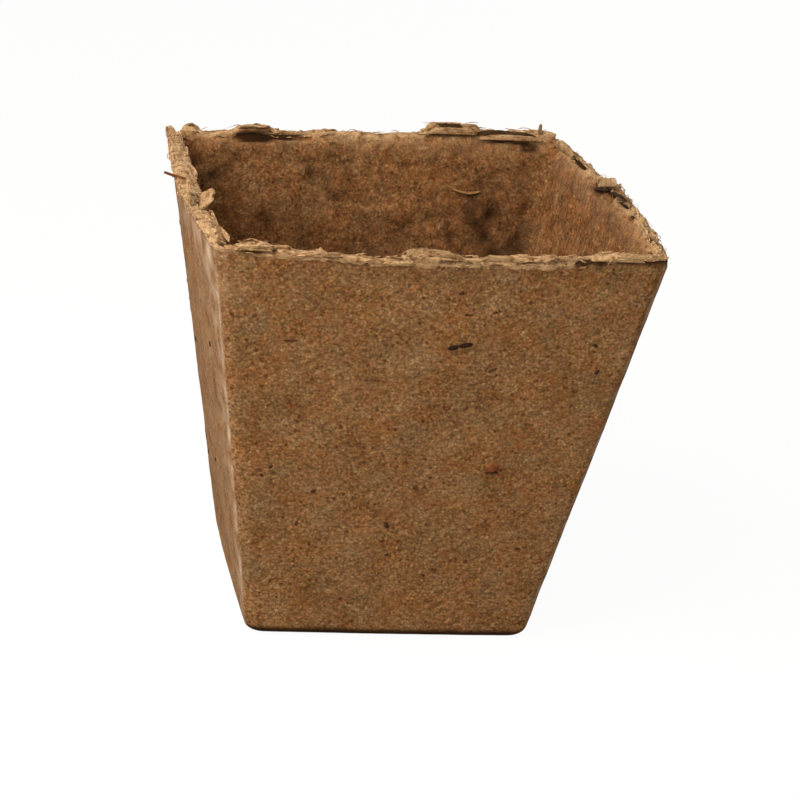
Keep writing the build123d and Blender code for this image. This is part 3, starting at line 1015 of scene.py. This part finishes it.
def build_lip(pot):
    """The torn lip as one closed ring, with layers along it, pits and a ragged crest."""
    section = smooth_section(LIP_SECTION, LIP_ROWS)
    columns = lip_columns(pot)
    bm, cells = rolled_grid(len(columns), len(section), LIP_NUMBERS)
    torn, painted_shade, inner = (layer(bm, name) for name in LIP_NUMBERS)
    for vert, (column, row) in cells:
        side, along, angle, reach, crest, hem = columns[column]
        out, up, follow, hang, tear, lumpy = section[row]
        rise = up * MM + crest * follow + hem * hang
        stand = pot.lip_out(side, reach, out * MM, follow) + rise * pot.slope
        if angle or along >= pot.straight:
            turn = math.radians(angle - 90)
            radius = max(LEAST_RADIUS, pot.corner + stand)
            x, y = pot.straight + radius * math.cos(turn), -pot.straight + radius * math.sin(turn)
            flat = Vector((x, y, pot.height))
            flat += Vector((1, -1, 0)) * min(0.0, pot.corner + stand - radius) * DIAGONAL
        else:
            flat = Vector((along, -pot.rim_half - stand, pot.height))
        vert.co = pot.settled(spun(flat, SIDE_TURNS[side]), 1.0) + UP * rise
        vert[torn] = held(tear)
        vert[inner] = held(lumpy)
    close_roll(bm)
    tear_lip(bm, pot, torn, painted_shade, inner)
    return bm


def tear_lip(bm, pot, torn, painted_shade, inner):
    """Tears the lip: steps where layers have parted, a fibrous skin, and the pits, with painted shade in the
    low steps and the pits.
    """
    pits = []
    for side, along, up, out, length, height, depth in rows_of(LIP_PITS):
        place = pot.rim_place(side, along * MM, up * MM, out * MM, 0.0)
        pits.append((place.inverted(), length * MM, height * MM, depth * MM))
    moves = []
    for vert in bm.verts:
        around = Vector((vert.co.x, vert.co.y))
        across = (max(abs(around.x), abs(around.y)) - pot.rim_half) / LAYER
        streak = (around.normalized() * (pot.rim_half / STREAK + across)).to_3d() + UP * (vert.co.z / LAYER)
        layers = noise.fractal(streak, 0.9, 2.2, 3) * LAYER_STEPS
        stepped = (math.floor(layers) + min(1.0, layers % 1 * 3)) / LAYER_STEPS
        fibres = noise.fractal(streak * 2.6, 0.7, 2.3, 3)
        crumbs = noise.fractal(vert.co / (1.1 * MM), 0.8, 2.1, 3)
        height = stepped * STEP_RISE + fibres * FIBRE_RISE + crumbs * CRUMB_RISE
        swell = pot.outer_lumps * (1 - vert[inner]) + pot.inner_lumps * vert[inner]
        sunk = 0.0
        for inverse, length, high, depth in pits:
            at = inverse @ vert.co
            if abs(at.x) < length / 2 and abs(at.y) < high and abs(at.z) < PIT_REACH / 2:
                dip = depth * bell(at.x, length) ** 0.5 * bell(at.y, high * 2) * bell(at.z, PIT_REACH) ** 0.5
                sunk = max(sunk, dip)
        lumps = unevenness(vert.co, vert[inner]) * swell
        moves.append(vert.normal * (height * MM * vert[torn] + lumps - sunk))
        # Painted shade in the low parted steps and in the pits
        vert[painted_shade] = min(1.0, max(0.0, -height * 0.9) * vert[torn] + sunk / DARK_PIT)
    for vert, move in zip(bm.verts, moves):
        vert.co += move


# Where flakes and fibres are strewn: the share of a side's length, and the first and last row of the
# lip's section
STREWN = 0.90
SHOWN_SECTION = (3, 11)

# Loose fibres: their thickness on the lip and on the walls, one free fibre of the lip in so many, how far
# the lip's fibres lie above it, and how far the walls' fibres lie out of the outside and out of the
# inside
LIP_FIBRE = 0.12 * MM
WALL_FIBRE = 0.10 * MM
FREE_FIBRE_IN = 140
LIP_FIBRE_LIFT = 0.05 * MM
OUTER_FIBRE_OUT = 0.02 * MM
INNER_FIBRE_OUT = -0.1 * MM

# The larger flakes of the lip, by side: along, up and out of the root's middle, length and width in
# millimetres, lean and turn in degrees, curl in millimetres, and darkness. The darkness is painted shade: the
# dark flakes stand in for the shadow under flaps and on their far layers.
LARGE_FLAKES = [
    ("back", [
        (22.2, 0.7, -1.2, 6.6, 1.5, -70, -5, 0.3, 0.0), (-15.9, 0.8, -2.0, 9.6, 1.3, -8, -1, 0.2, 0.0),
        (-15.2, 1.3, -1.3, 6.6, 1.5, -2, 0, -0.2, 0.95), (-19.4, 1.1, -1.4, 4.0, 1.6, -2, -3, 0.0, 0.0),
        (-12.4, 1.0, -1.5, 2.6, 1.5, -2, 2, 0.0, 0.15), (-27.2, 0.2, -2.2, 12.2, 1.0, -10, -1, 0.2, 0.0),
        (-26.4, 0.6, -1.4, 12.0, 1.2, 0, 1, -0.2, 0.95), (-32.9, 1.4, -1.1, 0.7, 2.0, 3, 4, 0.1, 0.5),
        (34.0, 0.0, -0.4, 3.2, 1.0, 10, 6, 0.3, 0.0), (37.4, -1.4, -0.5, 2.2, 2.1, 34, -18, 0.2, 0.2),
    ]),
    ("right", [
        (31.0, -0.3, -1.9, 10.5, 1.5, -22, -5, 0.3, 0.0), (4.8, 0.2, -1.7, 12.5, 1.6, -10, -16, 0.3, 0.0),
        (6.4, 0.1, -0.9, 5.0, 0.8, -8, -12, 0.2, 0.3), (-21.0, -0.2, -1.4, 5.5, 0.6, -30, 3, 0.2, 0.0),
        (-29.5, -0.5, -1.3, 4.5, 0.6, -35, -4, 0.2, 0.0),
    ]),
    ("left", [
        (13.5, 0.0, -1.7, 7.4, 3.2, -50, -14, 0.3, 0.0), (22.5, -0.3, -2.6, 7.5, 0.9, -30, -4, 0.3, 0.0),
        (31.0, -0.3, -2.6, 8.5, 0.9, -30, 3, 0.3, 0.0), (-7.0, -0.1, -2.8, 7.5, 0.8, -50, 4, 0.3, 0.0),
        (-20.0, -0.1, -2.4, 6.5, 0.8, -45, -3, 0.3, 0.0),
    ]),
    ("front", [
        (-31.6, -0.4, 0.1, 6.0, 0.8, 4, 2, 0.2, 0.0), (-3.2, -0.6, 0.0, 8.6, 1.2, -4, -2, 0.2, 0.0),
        (-20.0, -1.2, 0.2, 6.0, 0.8, 8, 2, 0.2, 0.0), (9.0, -1.1, 0.3, 7.0, 0.8, 6, -2, 0.2, 0.0),
        (19.0, -1.0, 0.2, 5.0, 0.8, 8, 2, 0.2, 0.0), (30.0, -0.9, 0.2, 6.0, 0.8, 6, -2, 0.2, 0.0),
    ]),
    # Two dark strips under the right side's flakes: painted shadow
    ("right", [
        (7.5, -1.3, -1.75, 9.0, 0.5, -6, -14, 0.1, 1.1), (-2.0, 0.4, -1.70, 10.0, 0.42, -6, -9, 0.1, 1.1),
    ]),
]


# Flakes, large and small: their columns and rows of faces, their thickness, and how frayed they are
LARGE_KIND = (30, 6, 0.35 * MM, 0.45)
SMALL_KIND = (9, 3, 0.15 * MM, 1.0)

# How far a flake waves, in millimetres, and the least share of its width that fraying leaves
FLAKE_WAVE = 0.3
LEAST_WIDTH_SHARE = 0.10


def add_flake(bm, place, length, width, curl, dark, chance, kind):
    """One torn flake: a thin plate with a ragged outline, curled across its width."""
    columns, rows, thickness, frayed = kind
    flake = numbered_bmesh(("torn", "painted_shade"))
    bmesh.ops.create_grid(flake, x_segments=columns, y_segments=rows, size=1.0)
    torn, painted_shade = layer(flake, "torn"), layer(flake, "painted_shade")
    start = Vector((chance.uniform(-50, 50), chance.uniform(-50, 50), 0))
    for vert in flake.verts:
        along, across = vert.co.x, (vert.co.y + 1) / 2
        broad = 0.22 * noise.noise(start + Vector((along * 2.5, 0, 0)))
        narrow = 0.26 * noise.noise(start + Vector((along * 9, 0, 3)))
        reach = max(LEAST_WIDTH_SHARE, (1 - abs(along) ** 4) ** 0.5 + (broad + narrow) * frayed)
        wave = noise.noise(start + Vector((along * 1.5, across * 1.2, 7)))
        vert.co = Vector((
            along * length / 2 * (1 + 0.16 * noise.noise(start + Vector((0, across * 4, 5)))),
            across * width * reach,
            curl * MM * across * across + wave * FLAKE_WAVE * MM * across,
        ))
        vert[torn] = 0.6 + 0.4 * across
        # A flake's darkness is painted shade
        vert[painted_shade] = dark
    bmesh.ops.solidify(flake, geom=flake.faces, thickness=thickness)
    bmesh.ops.recalc_face_normals(flake, faces=flake.faces)
    flake.transform(place)
    fold_in(bm, flake)


def build_flakes(pot, small_count):
    """The lip's large flakes one by one, and small ones strewn all along it."""
    chance = random.Random(11)
    bm = bmesh.new()
    for side, along, up, out, length, width, lean, turn, curl, dark in rows_of(LARGE_FLAKES):
        place = pot.rim_place(side, along * MM, up * MM, out * MM, math.radians(lean), math.radians(turn))
        add_flake(bm, place, length * MM, width * MM, curl, dark, chance, LARGE_KIND)
    for _ in range(small_count):
        side = chance.choice(SIDES)
        along = chance.uniform(-STREWN, STREWN) * pot.rim_half
        up, out = section_spot(pot, side, along, chance)
        lean, turn = math.radians(chance.gauss(-20, 40)), math.radians(chance.gauss(0, 10))
        place = pot.rim_place(side, along, up, out, lean, turn)
        length, width = chance.uniform(1.0, 3.6) * MM, chance.uniform(0.25, 0.65) * MM
        curl, dark = chance.uniform(-0.15, 0.25), chance.choice((0, 0, 0.3))
        add_flake(bm, place, length, width, curl, dark, chance, SMALL_KIND)
    return bm


def section_spot(pot, side, along, chance):
    """How far up and out a random spot lies on the part of the lip's section that shows."""
    position = chance.uniform(*SHOWN_SECTION)
    start, share = int(position), position % 1
    out, up, follow, hang, _, _ = Vector(LIP_SECTION[start]).lerp(Vector(LIP_SECTION[start + 1]), share)
    rise = up * MM + pot.crest_at(side, along) * follow + pot.hem_at(side, along) * hang
    return rise, pot.lip_out(side, along, out * MM, follow) + rise * pot.slope


def fibre_curve(name, thickness):
    """An empty curve whose splines become thin round fibres."""
    curve = bpy.data.curves.new(name, "CURVE")
    curve.dimensions = "3D"
    curve.bevel_depth = thickness / 2
    curve.bevel_resolution = 0
    curve.resolution_u = 2
    curve.use_fill_caps = True
    return curve


def add_fibre(curve, points, thick):
    """One fibre through its points, thinner at its ends."""
    spline = curve.splines.new("POLY")
    spline.points.add(len(points) - 1)
    for index, point in enumerate(points):
        spline.points[index].co = (*point, 1)
        share = abs(2 * index / (len(points) - 1) - 1)
        spline.points[index].radius = thick * (1 - 0.7 * share**3)


def fibre_mesh(curve):
    """The fibres as a mesh with closed ends."""
    holder = linked(curve.name, curve)
    graph = bpy.context.evaluated_depsgraph_get()
    graph.update()
    mesh = bpy.data.meshes.new_from_object(holder.evaluated_get(graph))
    bpy.data.objects.remove(holder)
    bpy.data.curves.remove(curve)
    return mesh


def bent_path(place, length, bend, lift, chance, steps):
    """A slightly crooked path along a place's X, bending in its plane and lifting off it at one end."""
    points = []
    sway = chance.uniform(-1, 1)
    for step in range(steps + 1):
        share = step / steps
        x = (share - 0.5) * length
        y = bend * (share * share - share) * length + sway * 0.06 * length * math.sin(share * 6.0)
        points.append(place @ Vector((x, y, lift * share * share)))
    return points


def build_lip_fibres(pot, count):
    """Fibres along the torn lip, a few of them standing free."""
    chance = random.Random(5)
    curve = fibre_curve("lip_fibres", LIP_FIBRE)
    for index in range(count):
        side = chance.choice(SIDES)
        along = chance.uniform(-STREWN, STREWN) * pot.rim_half
        up, out = section_spot(pot, side, along, chance)
        free = index % FREE_FIBRE_IN == 0
        lean = math.radians(chance.gauss(0, 40))
        turn = math.radians(chance.gauss(0, 50 if free else 9))
        place = pot.rim_place(side, along, up + LIP_FIBRE_LIFT, out, lean, turn)
        length = chance.uniform(1.0, 1.8 if free else 4.0) * MM
        lift = (chance.uniform(0.2, 0.7) if free else chance.uniform(-0.10, 0.06)) * MM
        bend = chance.uniform(-0.8, 0.8)
        add_fibre(curve, bent_path(place, length, bend, lift, chance, 6), chance.uniform(0.6, 1.5))
    return fibre_mesh(curve)


def build_wall_fibres(pot, count):
    """Fibres pressed flat into the walls, every third one inside."""
    chance = random.Random(9)
    curve = fibre_curve("wall_fibres", WALL_FIBRE)
    for index in range(count):
        side = chance.choice(SIDES)
        inside = index % 3 == 0
        z = chance.uniform(0.07, 0.95) * pot.height
        along = chance.uniform(-0.93, 0.93) * (pot.half_at(z) - (pot.wall if inside else 0))
        out = INNER_FIBRE_OUT if inside else OUTER_FIBRE_OUT
        place = pot.wall_place(side, along, z, out, chance.uniform(0, math.pi), inside)
        length = chance.uniform(0.7, 2.6) * MM
        lift = chance.uniform(-0.05, 0.12) * MM
        bend = chance.uniform(-0.9, 0.9)
        add_fibre(curve, bent_path(place, length, bend, lift, chance, 5), chance.uniform(0.6, 1.3))
    return fibre_mesh(curve)


def wood_bit(place, length, width, thickness, seed, fineness=3, bend=0.0):
    """A worn bit of wood or bark: a flattened, knobbly lozenge."""
    bm = bmesh.new()
    bmesh.ops.create_icosphere(bm, subdivisions=fineness, radius=0.5)
    start = Vector((seed * 7.3, seed * 3.1, 0))
    for vert in bm.verts:
        knobs = 1 + 0.30 * noise.fractal(vert.co * 3.2 + start, 0.8, 2.0, 2)
        blunt = Vector(math.copysign(abs(c * 2) ** 0.75 / 2, c) for c in vert.co) * knobs
        y = blunt.y * width + bend * blunt.x * blunt.x * length
        vert.co = Vector((blunt.x * length, y, blunt.z * thickness))
    bmesh.ops.recalc_face_normals(bm, faces=bm.faces)
    bm.transform(place)
    return bm


def front_bits(pot, name):
    """The lumps of one piece of wood in the front wall."""
    bm = bmesh.new()
    for along, z, turn, length, width, thickness, seed in FRONT_BITS[name]:
        place = pot.wall_place("front", along * MM, z * MM, 0.0, math.radians(turn))
        fold_in(bm, wood_bit(place, length * MM, width * MM, thickness * MM, seed))
    return bm


def tapered_stick(line, root, tip, sides=10, rings=14):
    """A stick along a few points, tapering from its root to its tip, with a knobbly skin."""
    bm = bmesh.new()
    turn = UP.rotation_difference(way(line[0], line[-1])).to_matrix().to_4x4()
    start = Matrix.Translation(line[0]) @ turn
    bmesh.ops.create_circle(bm, cap_ends=True, segments=sides, radius=root, matrix=start)
    edges = bm.edges[:]
    for index in range(rings):
        grown = bmesh.ops.extrude_edge_only(bm, edges=edges)["geom"]
        verts = [item for item in grown if isinstance(item, bmesh.types.BMVert)]
        edges = [item for item in grown if isinstance(item, bmesh.types.BMEdge) and item.is_boundary]
        here, there = index / rings, (index + 1) / rings
        centre = along_line(line, there)
        bmesh.ops.translate(bm, verts=verts, vec=centre - along_line(line, here))
        factor = (root + (tip - root) * there) / (root + (tip - root) * here)
        bmesh.ops.scale(bm, verts=verts, vec=(factor,) * 3, space=Matrix.Translation(-centre))
    bmesh.ops.holes_fill(bm, edges=edges, sides=sides)
    for vert in bm.verts:
        vert.co += vert.normal * (0.12 * root * noise.noise(vert.co / (0.5 * MM)))
    bmesh.ops.recalc_face_normals(bm, faces=bm.faces)
    return bm


def along_line(points, share):
    """The point at a share of the way along a few points."""
    position = min(share, 0.9999) * (len(points) - 1)
    start = int(position)
    return points[start].lerp(points[start + 1], position - start)


# Coarse dark grains in the walls, by side: along and height in millimetres, turn in degrees, length in
# millimetres
GRAINS = [
    ("front", [
        (0.7, 31.9, 10, 0.9), (-24.8, 35.5, 60, 0.9), (-26.2, 33.7, -20, 0.8), (-17.0, 30.6, 35, 1.0),
        (-19.2, 24.0, 80, 0.9), (-3.4, 24.0, -65, 1.3), (-2.5, 17.8, 15, 0.8), (3.1, 70.0, 40, 1.0),
        (27.5, 60.5, -30, 1.1), (28.7, 55.3, 55, 1.0), (20.8, 19.5, 5, 1.0), (4.6, 13.7, -40, 0.8),
    ]),
    ("right", [
        (-21.5, 50.8, 30, 1.1), (-5.9, 27.7, -15, 0.9), (10.4, 61.6, 70, 1.2), (15.2, 16.9, 20, 0.9),
        (22.1, 40.0, -50, 1.0),
    ]),
    ("back", [
        (-15.8, 23.1, 40, 1.0), (-3.4, 55.4, -25, 1.3), (10.5, 37.0, 10, 0.9), (25.4, 64.7, 65, 1.1),
    ]),
    ("left", [
        (-18.3, 18.5, -35, 0.9), (-9.0, 44.7, 50, 1.2), (5.2, 26.2, 5, 0.9), (20.2, 53.9, -60, 1.0),
    ]),
]

# Thin dark grains, in the same way. The first on the front and the one under the bark chip are painted shade:
# dark slivers put in a shadowed slit and in the chip's shadow
THIN_GRAINS_AND_SHADE_SLIVERS = [
    ("front", [
        (-24.1, 60.2, 4, 2.3), (10.6, 55.5, 34, 1.8), (9.4, 66.5, 5, 1.0), (4.9, 65.9, 0, 1.5),
        (13.6, 35.1, 2, 2.6),
    ]),
    ("right", [
        (6.5, 45.0, -12, 1.9),
    ]),
    ("back", [
        (13.0, 50.5, 18, 2.1),
    ]),
]


# How wide and thick a coarse grain is, the first as a share of its length, and how wide and thick a thin
# one is
COARSE_WIDTH_SHARE = 0.65
COARSE_THICKNESS = 0.5 * MM
THIN_WIDTH = 0.34 * MM
THIN_THICKNESS = 0.3 * MM

# The splinter: points from its root to its tip as along the left side, up from the even rim and out, and
# the radii of its ends, all in millimetres
SPLINTER_LINE = [(-1.0, -0.1, -2.2), (-2.4, 0.45, 0.4), (-2.8, 1.0, 2.3)]
SPLINTER_RADII = (0.32, 0.24)

# The lumps of wood in the front wall, by piece: along and height, turn in degrees, then length, width and
# thickness, with lengths in millimetres, and the number that its knobs grow from
FRONT_BITS = {
    "dark_twig": [(3.2, 59.7, 12, 1.9, 0.75, 0.8, 1), (5.3, 60.2, 12, 2.3, 0.8, 0.8, 2)],
    "reddish_chip": [(13.5, 36.2, 8, 2.3, 1.7, 0.8, 3)],
    "small_low_sliver": [(25.1, 16.9, 14, 1.7, 0.55, 0.6, 4)],
}


class PieceOperator:
    """What the operators of all pieces share."""

    bl_options = {"REGISTER", "UNDO"}

    @property
    def colours(self):
        return bpy.context.scene.peat_pot_colours

    @property
    def shape(self):
        return bpy.context.scene.peat_pot_shape


class PEATPOT_OT_shell(PieceOperator, bpy.types.Operator):
    """Press the felt shell: walls, foot, floor and drain hole"""

    bl_idname = "peatpot.shell"
    bl_label = "Felt shell"

    def execute(self, context):
        show_bmesh("felt_pot", build_shell(Pot()), pressed_felt(self.colours), ["pot_body"])
        return {"FINISHED"}


class PEATPOT_OT_lip(PieceOperator, bpy.types.Operator):
    """Tear the thick lip round the rim"""

    bl_idname = "peatpot.lip"
    bl_label = "Torn lip"

    def execute(self, context):
        material = torn_felt(self.colours)
        show_bmesh("torn_lip", build_lip(Pot()), material)
        show_bmesh("lip_flakes", build_flakes(Pot(), self.shape.small_flakes), material)
        return {"FINISHED"}


class PEATPOT_OT_fibres(PieceOperator, bpy.types.Operator):
    """Lay loose fibres on the lip and the walls"""

    bl_idname = "peatpot.fibres"
    bl_label = "Loose fibres"

    def execute(self, context):
        colours = self.colours
        torn = loose_fibre("lip_fibre", [colours.rust, colours.brown, colours.straw, colours.tan])
        show("loose_lip_fibres", build_lip_fibres(Pot(), self.shape.lip_fibres), torn)
        shades = [colours.umber, colours.rust, colours.brown, colours.grey, colours.tan]
        pressed = loose_fibre("wall_fibre", shades)
        show("loose_wall_fibres", build_wall_fibres(Pot(), self.shape.wall_fibres), pressed)
        return {"FINISHED"}


class PEATPOT_OT_wood(PieceOperator, bpy.types.Operator):
    """Set the splinter, the twig, the bark chip, the low sliver and the shaving in the walls"""

    bl_idname = "peatpot.wood"
    bl_label = "Wood and bark"

    def execute(self, context):
        pot = Pot()
        colours = self.colours
        red = wood("red_wood", colours.red_wood, colours.umber)
        line = [pot.rim_point("left", along * MM, up * MM, out * MM) for along, up, out in SPLINTER_LINE]
        stick = tapered_stick(line, *(radius * MM for radius in SPLINTER_RADII))
        show_bmesh("reddish_splinter", stick, red, ["rim_splinter"])
        dark = wood("dark_wood", colours.shade, colours.dark_wood)
        show_bmesh("dark_twig", front_bits(pot, "dark_twig"), dark, ["twig_sliver"])
        bark = wood("bark", colours.rust, colours.red_wood, 0.5 * MM)
        show_bmesh("reddish_chip", front_bits(pot, "reddish_chip"), bark, ["bark_chip"])
        soft = wood("soft_dark_wood", colours.brown, colours.speck)
        show_bmesh("small_low_sliver", front_bits(pot, "small_low_sliver"), soft, ["low_sliver"])
        place = pot.wall_place("back", -18.8 * MM, 67.0 * MM, 0.05 * MM, math.radians(-8), inside=True)
        shaving = wood_bit(place, 6.4 * MM, 0.55 * MM, 0.9 * MM, seed=5, fineness=4, bend=0.5)
        pale = wood("pale_wood", colours.pale_wood, colours.brown)
        show_bmesh("pale_shaving", shaving, pale, ["inner_shaving"])
        return {"FINISHED"}


class PEATPOT_OT_grains(PieceOperator, bpy.types.Operator):
    """Press the coarse dark grains into the walls"""

    bl_idname = "peatpot.grains"
    bl_label = "Dark grains"

    def execute(self, context):
        pot = Pot()
        bm = bmesh.new()
        for seed, (side, along, z, turn, length) in enumerate(rows_of(GRAINS)):
            place = pot.wall_place(side, along * MM, z * MM, 0.0, math.radians(turn))
            width = length * COARSE_WIDTH_SHARE * MM
            fold_in(bm, wood_bit(place, length * MM, width, COARSE_THICKNESS, seed, 2))
        # Thin grains; two on the front are painted shade, dark slivers in a slit and under the bark chip
        for side, along, z, turn, length in rows_of(THIN_GRAINS_AND_SHADE_SLIVERS):
            place = pot.wall_place(side, along * MM, z * MM, 0.0, math.radians(turn))
            fold_in(bm, wood_bit(place, length * MM, THIN_WIDTH, THIN_THICKNESS, length, 2))
        dark = wood("dark_grain", self.colours.umber, self.colours.dark_wood)
        show_bmesh("coarse_dark_grains", bm, dark, ["peat_grains"])
        return {"FINISHED"}


# The camera: its azimuth, elevation and roll in degrees, then how far it is moved across and up its view
# and away from the origin, its lens, its sensor's width, all in millimetres
CAMERA_TURN = (-12.06, 19.97, 5.85)
CAMERA_PLACE = (6.64, 34.25, 500.2)
CAMERA_LENS = 119.0
CAMERA_SENSOR = 36.0

# The soft lamps: azimuth and elevation in degrees, distance and width in metres, and watts. They look at
# this height.
SOFTBOXES = {
    "key_softbox": (-57, 46, 0.36, 0.3, 1.66),
    "left_softbox": (-80, 30, 0.7, 0.5, 1.0),
    "front_softbox": (-30, 20, 0.7, 0.5, 1.75),
    "far_softbox": (130, 16, 0.7, 0.5, 1.3),
}
LAMP_AIM = 40 * MM

# The floor's half width in metres, and how white the camera sees it, as its own light and as a share of
# all light
FLOOR_REACH = 6.0
FLOOR_WHITE = 1.05
FLOOR_WHITE_SHARE = 0.91

# The light from all round and its strength
SKY_TINT = (1.0, 0.97, 0.93)
SKY_STRENGTH = 0.30
WHITE = (1, 1, 1)


def aimed(azimuth, elevation, roll=0.0):
    """The turn of a camera or lamp that looks at the pot from an azimuth and elevation."""
    return (
        Matrix.Rotation(math.radians(azimuth), 4, "Z")
        @ Matrix.Rotation(math.radians(90 - elevation), 4, "X")
        @ Matrix.Rotation(math.radians(roll), 4, "Z")
    )


def add_camera():
    """The camera at the photograph's viewing angle."""
    data = bpy.data.cameras.new("studio_camera")
    data.sensor_width = CAMERA_SENSOR
    data.lens = CAMERA_LENS
    data.clip_start = 10 * MM
    camera = linked("studio_camera", data)
    camera.matrix_world = aimed(*CAMERA_TURN) @ Matrix.Translation(Vector(CAMERA_PLACE) * MM)
    bpy.context.scene.camera = camera


def add_softbox(name, azimuth, elevation, distance, width, watts):
    """A square soft lamp that looks at the middle of the pot."""
    data = bpy.data.lights.new(name, "AREA")
    data.shape = "SQUARE"
    data.size = width
    data.energy = watts
    aim = Matrix.Translation((0, 0, LAMP_AIM)) @ aimed(azimuth, elevation)
    linked(name, data).matrix_world = aim @ Matrix.Translation((0, 0, distance))


def add_floor(colour):
    """A wide pale floor that shows white to the camera and still takes the pot's shadow."""
    bm = bmesh.new()
    bmesh.ops.create_grid(bm, x_segments=1, y_segments=1, size=FLOOR_REACH)
    mesh = bpy.data.meshes.new("studio_floor")
    bm.to_mesh(mesh)
    bm.free()
    finish = Finish("studio_floor")
    matte = finish.node("ShaderNodeBsdfDiffuse", {}, {"Color": colour})
    white = finish.node("ShaderNodeEmission", {}, {"Color": WHITE, "Strength": FLOOR_WHITE})
    mesh.materials.append(finish.shown_white(matte, white, "ShaderNodeOutputMaterial", FLOOR_WHITE_SHARE))
    floor = linked("studio_floor", mesh)


def add_sky():
    """An even pale light from all round, seen as white."""
    finish = Finish("studio_light", world=True)
    light = finish.node("ShaderNodeBackground", {}, {"Color": SKY_TINT, "Strength": SKY_STRENGTH})
    white = finish.node("ShaderNodeBackground", {}, {"Color": WHITE, "Strength": 1.0})
    bpy.context.scene.world = finish.shown_white(light, white, "ShaderNodeOutputWorld", 1.0)


class PEATPOT_OT_stage(PieceOperator, bpy.types.Operator):
    """Set up the camera, the soft light and the pale floor"""

    bl_idname = "peatpot.stage"
    bl_label = "Studio"

    def execute(self, context):
        context.scene.view_settings.view_transform = "Standard"
        add_camera()
        for name, settings in SOFTBOXES.items():
            add_softbox(name, *settings)
        add_sky()
        add_floor(self.colours.floor)
        return {"FINISHED"}


OPERATORS = [
    PEATPOT_OT_stage, PEATPOT_OT_shell, PEATPOT_OT_lip, PEATPOT_OT_fibres, PEATPOT_OT_wood, PEATPOT_OT_grains,
]


class PEATPOT_PT_panel(bpy.types.Panel):
    """Lists the pot's sizes, colours and pieces"""

    bl_idname = "PEATPOT_PT_panel"
    bl_label = "Peat pot"
    bl_space_type = "VIEW_3D"
    bl_region_type = "UI"
    bl_category = "Peat pot"

    def draw(self, context):
        for group in (context.scene.peat_pot_shape, context.scene.peat_pot_colours):
            column = self.layout.column()
            for name in group.__annotations__:
                column.prop(group, name)
        for operator in OPERATORS:
            self.layout.operator(operator.bl_idname)


CLASSES = [PotShape, PotColours, *OPERATORS, PEATPOT_PT_panel]


def register():
    """Adds the pot's sizes, colours, operators and panel to Blender."""
    for cls in CLASSES:
        bpy.utils.register_class(cls)
    bpy.types.Scene.peat_pot_shape = PointerProperty(type=PotShape)
    bpy.types.Scene.peat_pot_colours = PointerProperty(type=PotColours)


def unregister():
    """Takes away what register adds."""
    del bpy.types.Scene.peat_pot_colours
    del bpy.types.Scene.peat_pot_shape
    for cls in reversed(CLASSES):
        bpy.utils.unregister_class(cls)


def main():
    """Builds the pot and its stage."""
    register()
    bpy.ops.peatpot.stage()
    bpy.ops.peatpot.shell()
    bpy.ops.peatpot.lip()
    bpy.ops.peatpot.fibres()
    bpy.ops.peatpot.wood()
    bpy.ops.peatpot.grains()


if __name__ == "__main__":
    main()
